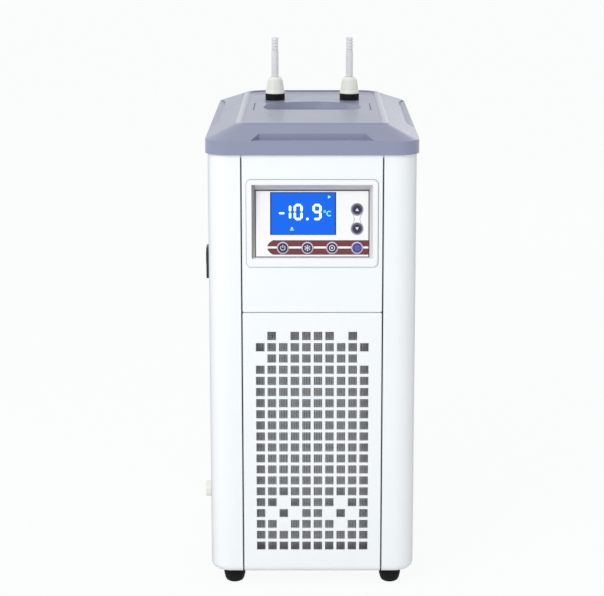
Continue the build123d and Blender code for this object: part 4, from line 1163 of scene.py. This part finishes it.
@dataclass
class PlateauBead:
    """The rounded moulded bead that runs round the plateau of the top cover."""

    inset: float = 31.0 * MM
    rear_bevel: float = 16.0 * MM
    front_radius: float = 8.0 * MM
    rear_radius: float = 22.0 * MM
    width: float = 7.0 * MM
    rise: float = 1.2 * MM

    def build(self, material: Material) -> None:
        """Sweep the bead round the plateau's edge.

        Args:
            material: the top cover's plastic.
        """
        low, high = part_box("top_cover")
        recipe = Recipe("plateau_bead")
        wide = recipe.size("Width", high.x - low.x - 2 * self.inset - self.width)
        deep = recipe.size("Depth", high.y - low.y - 2 * self.inset - self.rear_bevel - self.width)
        front = recipe.size("Front radius", self.front_radius)
        rear = recipe.size("Rear radius", self.rear_radius)
        half, rise = recipe.size("Half width", self.width / 2), recipe.size("Rise", self.rise)
        place = recipe.size("Place", Vector((0.0, -self.rear_bevel / 2, high.z)))
        loop = recipe.node("GeometryNodeCurvePrimitiveQuadrilateral", {}, {"Width": wide, "Height": deep})
        spot = recipe.node("GeometryNodeInputPosition", {}, {})
        along = recipe.node("ShaderNodeSeparateXYZ", {}, {0: spot}, "Y")
        at_rear = recipe.node("FunctionNodeCompare", {"operation": "GREATER_THAN"}, {0: along, 1: 0.0})
        radius = recipe.node("GeometryNodeSwitch", {"input_type": "FLOAT"}, {0: at_rear, 1: front, 2: rear})
        corners = {"Curve": loop, "Count": 10, "Radius": radius, "Limit Radius": True}
        path = recipe.node("GeometryNodeFilletCurve", {"mode": "POLY"}, corners)
        round_one = recipe.node("GeometryNodeCurvePrimitiveCircle", {}, {"Resolution": 16, "Radius": half})
        flat = recipe.node("ShaderNodeMath", {"operation": "DIVIDE"}, {0: rise, 1: half})
        squeeze = {"Geometry": round_one, "Scale": recipe.vector(1.0, flat, 1.0)}
        section = recipe.node("GeometryNodeTransform", {}, squeeze)
        bead = recipe.node("GeometryNodeCurveToMesh", {}, {"Curve": path, "Profile Curve": section})
        recipe.bake(recipe.moved(bead, place), material, HOUSING)


@dataclass
class NutRibs:
    """The fine grip ribs round both hose nuts."""

    count: int = 28
    foot: float = 4.2 * MM
    head: float = 3.4 * MM
    low_radius: float = 9.85 * MM
    high_radius: float = 8.25 * MM
    rib: float = 0.8 * MM
    proud: float = 0.5 * MM

    def build(self, material: Material) -> None:
        """Set the ribs round each nut's leaning side.

        Args:
            material: the nuts' plastic.
        """
        for word in ("outlet", "return"):
            low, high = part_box(f"{word}_nut")
            length = high.z - low.z - self.foot - self.head
            lean = math.atan2(self.low_radius - self.high_radius, length)
            recipe = Recipe(f"{word}_nut_ribs")
            count = recipe.size("Count", self.count)
            radius = recipe.size("Radius", (self.low_radius + self.high_radius) / 2)
            size = recipe.size("Rib", Vector((self.proud, self.rib, length / math.cos(lean))))
            tilt = recipe.size("Lean", -lean)
            middle = (low + high) / 2
            place = recipe.size("Place", Vector((middle.x, middle.y, low.z + self.foot + length / 2)))
            ring = recipe.node("GeometryNodeMeshCircle", {}, {"Vertices": count, "Radius": radius})
            number = recipe.node("GeometryNodeInputIndex", {}, {})
            share = recipe.node("ShaderNodeMath", {"operation": "DIVIDE"}, {0: number, 1: count})
            angle = recipe.node("ShaderNodeMath", {"operation": "MULTIPLY"}, {0: share, 1: 2 * math.pi})
            turn = recipe.vector(0.0, tilt, angle)
            rib = recipe.node("GeometryNodeMeshCube", {}, {"Size": size})
            placed = {"Points": ring, "Instance": rib, "Rotation": turn}
            ribs = recipe.node("GeometryNodeInstanceOnPoints", {}, placed)
            recipe.bake(recipe.moved(ribs, place), material, HOUSING)


@dataclass
class Fittings:
    """Small pieces that sit on the cabinet: seam folds, inlet contacts and switch marks."""

    seam_x: float = 72.75 * MM
    fold: float = 3.6 * MM
    sheet: float = 2.0 * MM
    fold_sheet: float = 1.0 * MM
    fold_foot: float = 5.0 * MM
    fold_head: float = 3.2 * MM
    pin_skin: float = 0.06 * MM
    pin_back: float = 4.05 * MM
    pin_drop: float = 6.0 * MM
    pins: tuple[Point, ...] = ((-7.0 * MM, -3.0 * MM), (0.0, 3.0 * MM), (7.0 * MM, -3.0 * MM))
    pin_half: Point = (1.0 * MM, 2.0 * MM)
    throw: float = math.radians(18.0)
    crown_drop: float = 1.0 * MM
    off_ring: Point = (1.5 * MM, 2.1 * MM)
    off_up: float = 6.0 * MM
    on_bar: tuple[Point, Point] = ((-0.35 * MM, 4.0 * MM), (0.35 * MM, 8.0 * MM))
    bezel_corner: float = 5.0 * MM
    joint: float = 0.55 * MM
    joint_under: float = 0.3 * MM

    def folds(self, material: Material) -> None:
        """Make the turned-in edges that back the seams at the front and the back, coloured dark grey as
        painted shade in the seams.

        Args:
            material: the dark grey of the painted shade in the seams.
        """
        low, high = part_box("left_cover")
        pen = Pen()
        foot, head = low.z + self.fold_foot, high.z - self.fold_head
        for front in (low.y + self.sheet, high.y - self.sheet - self.fold_sheet):
            for middle in (-self.seam_x, self.seam_x):
                near = Vector((middle - self.fold, front, foot))
                pen.box(near, Vector((middle + self.fold, front + self.fold_sheet, head)))
        pen.piece("seam_folds", material, "white_shell")

    def level_fold(self, material: Material) -> None:
        """Make the edge that backs the level seam between the panel and the grille, coloured grey as painted
        shade in the seam.

        Args:
            material: the grey of the painted shade in the seam.
        """
        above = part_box("upper_front_panel")[0]
        low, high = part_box("lower_front_grille")
        front = low.y + self.sheet
        near = Vector((low.x + self.fold, front, high.z - self.fold))
        pen = Pen()
        pen.box(near, Vector((high.x - self.fold, front + self.fold_sheet, above.z + self.fold)))
        pen.piece("level_fold", material, "white_shell")

    def bezel_joint(self, material: Material) -> None:
        """Lay the joint line round the display frame, greyed as painted shadow under the frame's raised
        edge.

        Args:
            material: the grey of the joint and its painted shadow.
        """
        low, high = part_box("display_bezel")
        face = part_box("upper_front_panel")[0].y

        def on_face(x: float, z: float, w: float) -> Vector:
            """Place a point on the panel's front."""
            return Vector((x, face - w, z))

        pen = Pen(on_face)
        corner = self.bezel_corner
        half, foot, head = high.x - corner, low.z + corner, high.z - corner
        for x, z, turn in ((-half, foot, 1.0), (half, foot, 1.5), (half, head, 0.0), (-half, head, 0.5)):
            turns = (turn * math.pi, (turn + 0.5) * math.pi)
            pen.arc((x, z), (corner - self.joint_under, corner + self.joint), turns)
        inner, outer = -self.joint_under, self.joint
        pen.bar((-half, low.z - outer), (half, low.z - inner))
        pen.bar((-half, high.z + inner), (half, high.z + outer))
        pen.bar((low.x - outer, foot), (low.x - inner, head))
        pen.bar((high.x + inner, foot), (high.x + outer, head))
        pen.piece("bezel_joint", material, "bezel_plastic")

    def contacts(self, material: Material) -> None:
        """Skin the inlet's three blades in metal.

        Args:
            material: the contacts' metal.
        """
        low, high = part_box("power_inlet")
        middle = (low + high) / 2
        back, front = low.y + self.pin_back, high.y - self.pin_drop + self.pin_skin
        wide, tall = self.pin_half[0] + self.pin_skin, self.pin_half[1] + self.pin_skin
        pen = Pen()
        for across, up in self.pins:
            x, z = middle.x + across, middle.z + up
            pen.box(Vector((x - wide, back, z - tall)), Vector((x + wide, front, z + tall)))
        pen.piece("inlet_contacts", material, "copper")

    def marks(self, material: Material) -> None:
        """Draw the bar and the ring on the rocker's two halves.

        Args:
            material: the ink.
        """
        low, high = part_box("power_rocker")
        housing_low, housing_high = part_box("switch_housing")
        y = (low.y + high.y) / 2
        crown_z = (housing_low.z + housing_high.z) / 2 - self.crown_drop
        out = Vector((-math.cos(self.throw), 0.0, -math.sin(self.throw)))
        down = Vector((math.sin(self.throw), 0.0, -math.cos(self.throw)))

        def upper(across: float, up: float, w: float) -> Vector:
            """Place a point on the upper half, which stands flush."""
            return Vector((low.x - w, y + across, crown_z + up))

        def lower(across: float, along: float, w: float) -> Vector:
            """Place a point on the lower half, which leans in."""
            return Vector((low.x, y + across, crown_z)) + down * along + out * w

        pen = Pen(upper)
        pen.arc((0.0, self.off_up), self.off_ring)
        pen.place = lower
        pen.bar(*self.on_bar)
        pen.piece("rocker_marks", material, "natural_plastic", "power_rocker")


@dataclass
class FlowArrows:
    """A thin printed arrow beside each hose connection on the top cover."""

    x: float = 64.0 * MM
    low_y: float = -44.0 * MM
    length: float = 66.0 * MM
    half: float = 0.75 * MM
    head: float = 1.7 * MM
    head_length: float = 4.76 * MM
    ink: Colour = srgb(96, 92, 118)

    def build(self) -> None:
        """Make both arrows; the outlet's points back and the return's points forward."""
        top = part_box("top_cover")[1].z
        ink = Finish("arrow_ink", self.ink, 0.5).build()
        high_y = self.low_y + self.length
        for name, x, tail, tip in (
            ("outlet_arrow", -self.x, self.low_y, high_y),
            ("return_arrow", self.x, high_y, self.low_y),
        ):
            neck = tip - math.copysign(self.head_length, tip - tail)
            right = [(x + self.head, neck), (x + self.half, neck), (x + self.half, tail)]
            left = [(2 * x - across, y) for across, y in reversed(right)]
            pen = Pen(low=top, high=top + PROUD)
            pen.shape([*left, (x, tip), *right])
            pen.piece(name, ink, "lid_plastic")


@dataclass
class Studio:
    """White floor, soft light and the photograph's camera."""

    camera_y: float = -2.2275
    camera_z: float = 0.7443
    tilt_down: float = math.radians(11.96)
    lens: float = 119.8
    sensor: float = 36.0
    shift: float = -10.2 / 604
    floor_size: float = 60.0
    floor_colour: Colour = (0.92, 0.93, 0.93)
    sky: Colour = (0.97, 0.985, 1.0)
    sky_level: float = 0.72
    page: Colour = (0.975, 0.995, 0.985)
    page_share: float = 0.94
    aim: tuple[float, float, float] = (0.0, -0.1, 0.35)

    def camera(self) -> None:
        """Make the camera at the photograph's place."""
        data = bpy.data.cameras.new("camera")
        data.lens, data.sensor_width, data.shift_x = self.lens, self.sensor, self.shift
        data.clip_start, data.clip_end = 0.01, 100.0
        eye = bpy.data.objects.new("camera", data)
        eye.location = (0.0, self.camera_y, self.camera_z)
        eye.rotation_euler = (math.pi / 2 - self.tilt_down, 0.0, 0.0)
        bpy.context.scene.collection.objects.link(eye)
        bpy.context.scene.camera = eye

    def floor_material(self) -> Material:
        """Return a white floor that keeps a faint shadow."""
        graph = Graph("floor")
        graph.set(Base_Color=self.floor_colour, Roughness=0.9)
        glow = graph.node("ShaderNodeEmission", {}, {"Color": self.page})
        graph.cover(graph.seen() * self.page_share, glow, "Material Output")
        return graph.material

    def floor(self) -> None:
        """Make the pale floor."""
        bm = bmesh.new()
        half = self.floor_size / 2
        corners = ((-half, -half), (half, -half), (half, half), (-half, half))
        bm.faces.new([bm.verts.new((x, y, 0.0)) for x, y in corners])
        data = bpy.data.meshes.new("floor")
        bm.to_mesh(data)
        bm.free()
        data.materials.append(self.floor_material())
        ground = bpy.data.objects.new("floor", data)
        bpy.context.scene.collection.objects.link(ground)

    def light(self, name: str, place: tuple[float, float, float], size: Point, power: float) -> None:
        """Add a soft lamp that faces the object.

        Args:
            name: the lamp's name.
            place: where it stands.
            size: its width and height.
            power: its power in watts.
        """
        data = bpy.data.lights.new(name, "AREA")
        data.shape, data.size, data.size_y, data.energy = "RECTANGLE", size[0], size[1], power
        lamp = bpy.data.objects.new(name, data)
        lamp.location = place
        lamp.rotation_euler = (Vector(self.aim) - Vector(place)).to_track_quat("-Z", "Y").to_euler()
        lamp.visible_camera = False
        bpy.context.scene.collection.objects.link(lamp)

    def world(self) -> None:
        """Light everything from a pale sky that the camera sees as white."""
        graph = WorldGraph("studio")
        graph.set(Color=self.sky, Strength=self.sky_level)
        page = graph.node("ShaderNodeBackground", {}, {"Color": self.page, "Strength": 1.0})
        graph.cover(graph.seen(), page, "World Output")

    def build(self) -> None:
        """Make the whole studio."""
        self.camera()
        self.world()
        self.floor()
        self.light("key_light", (-1.2, -1.9, 1.7), (0.9, 0.9), 21.0)
        self.light("rear_light", (0.8, 2.6, 1.3), (0.5, 1.2), 2.5)
        bpy.context.scene.view_settings.view_transform = "Standard"


def main() -> None:
    """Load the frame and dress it."""
    logging.basicConfig(level=logging.INFO, format="%(name)s %(message)s")
    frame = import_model()
    Studio().build()
    made = dress(frame["nodes"], frame["record"])
    Keypad().build(frame["nodes"])
    display = Display()
    display.figures()
    display.marks()
    FlowArrows().build()
    FinPack().build(made["aluminium"])
    PlateauBead().build(BEAD.build())
    NutRibs().build(made["natural_plastic"])
    fittings = Fittings()
    fittings.folds(SEAM_FOLD_SHADE.build())
    fittings.level_fold(LEVEL_FOLD_SHADE.build())
    fittings.bezel_joint(JOINT_SHADOW.build())
    fittings.contacts(made["copper"])
    fittings.marks(made["natural_plastic"])


if __name__ == "__main__":
    main()
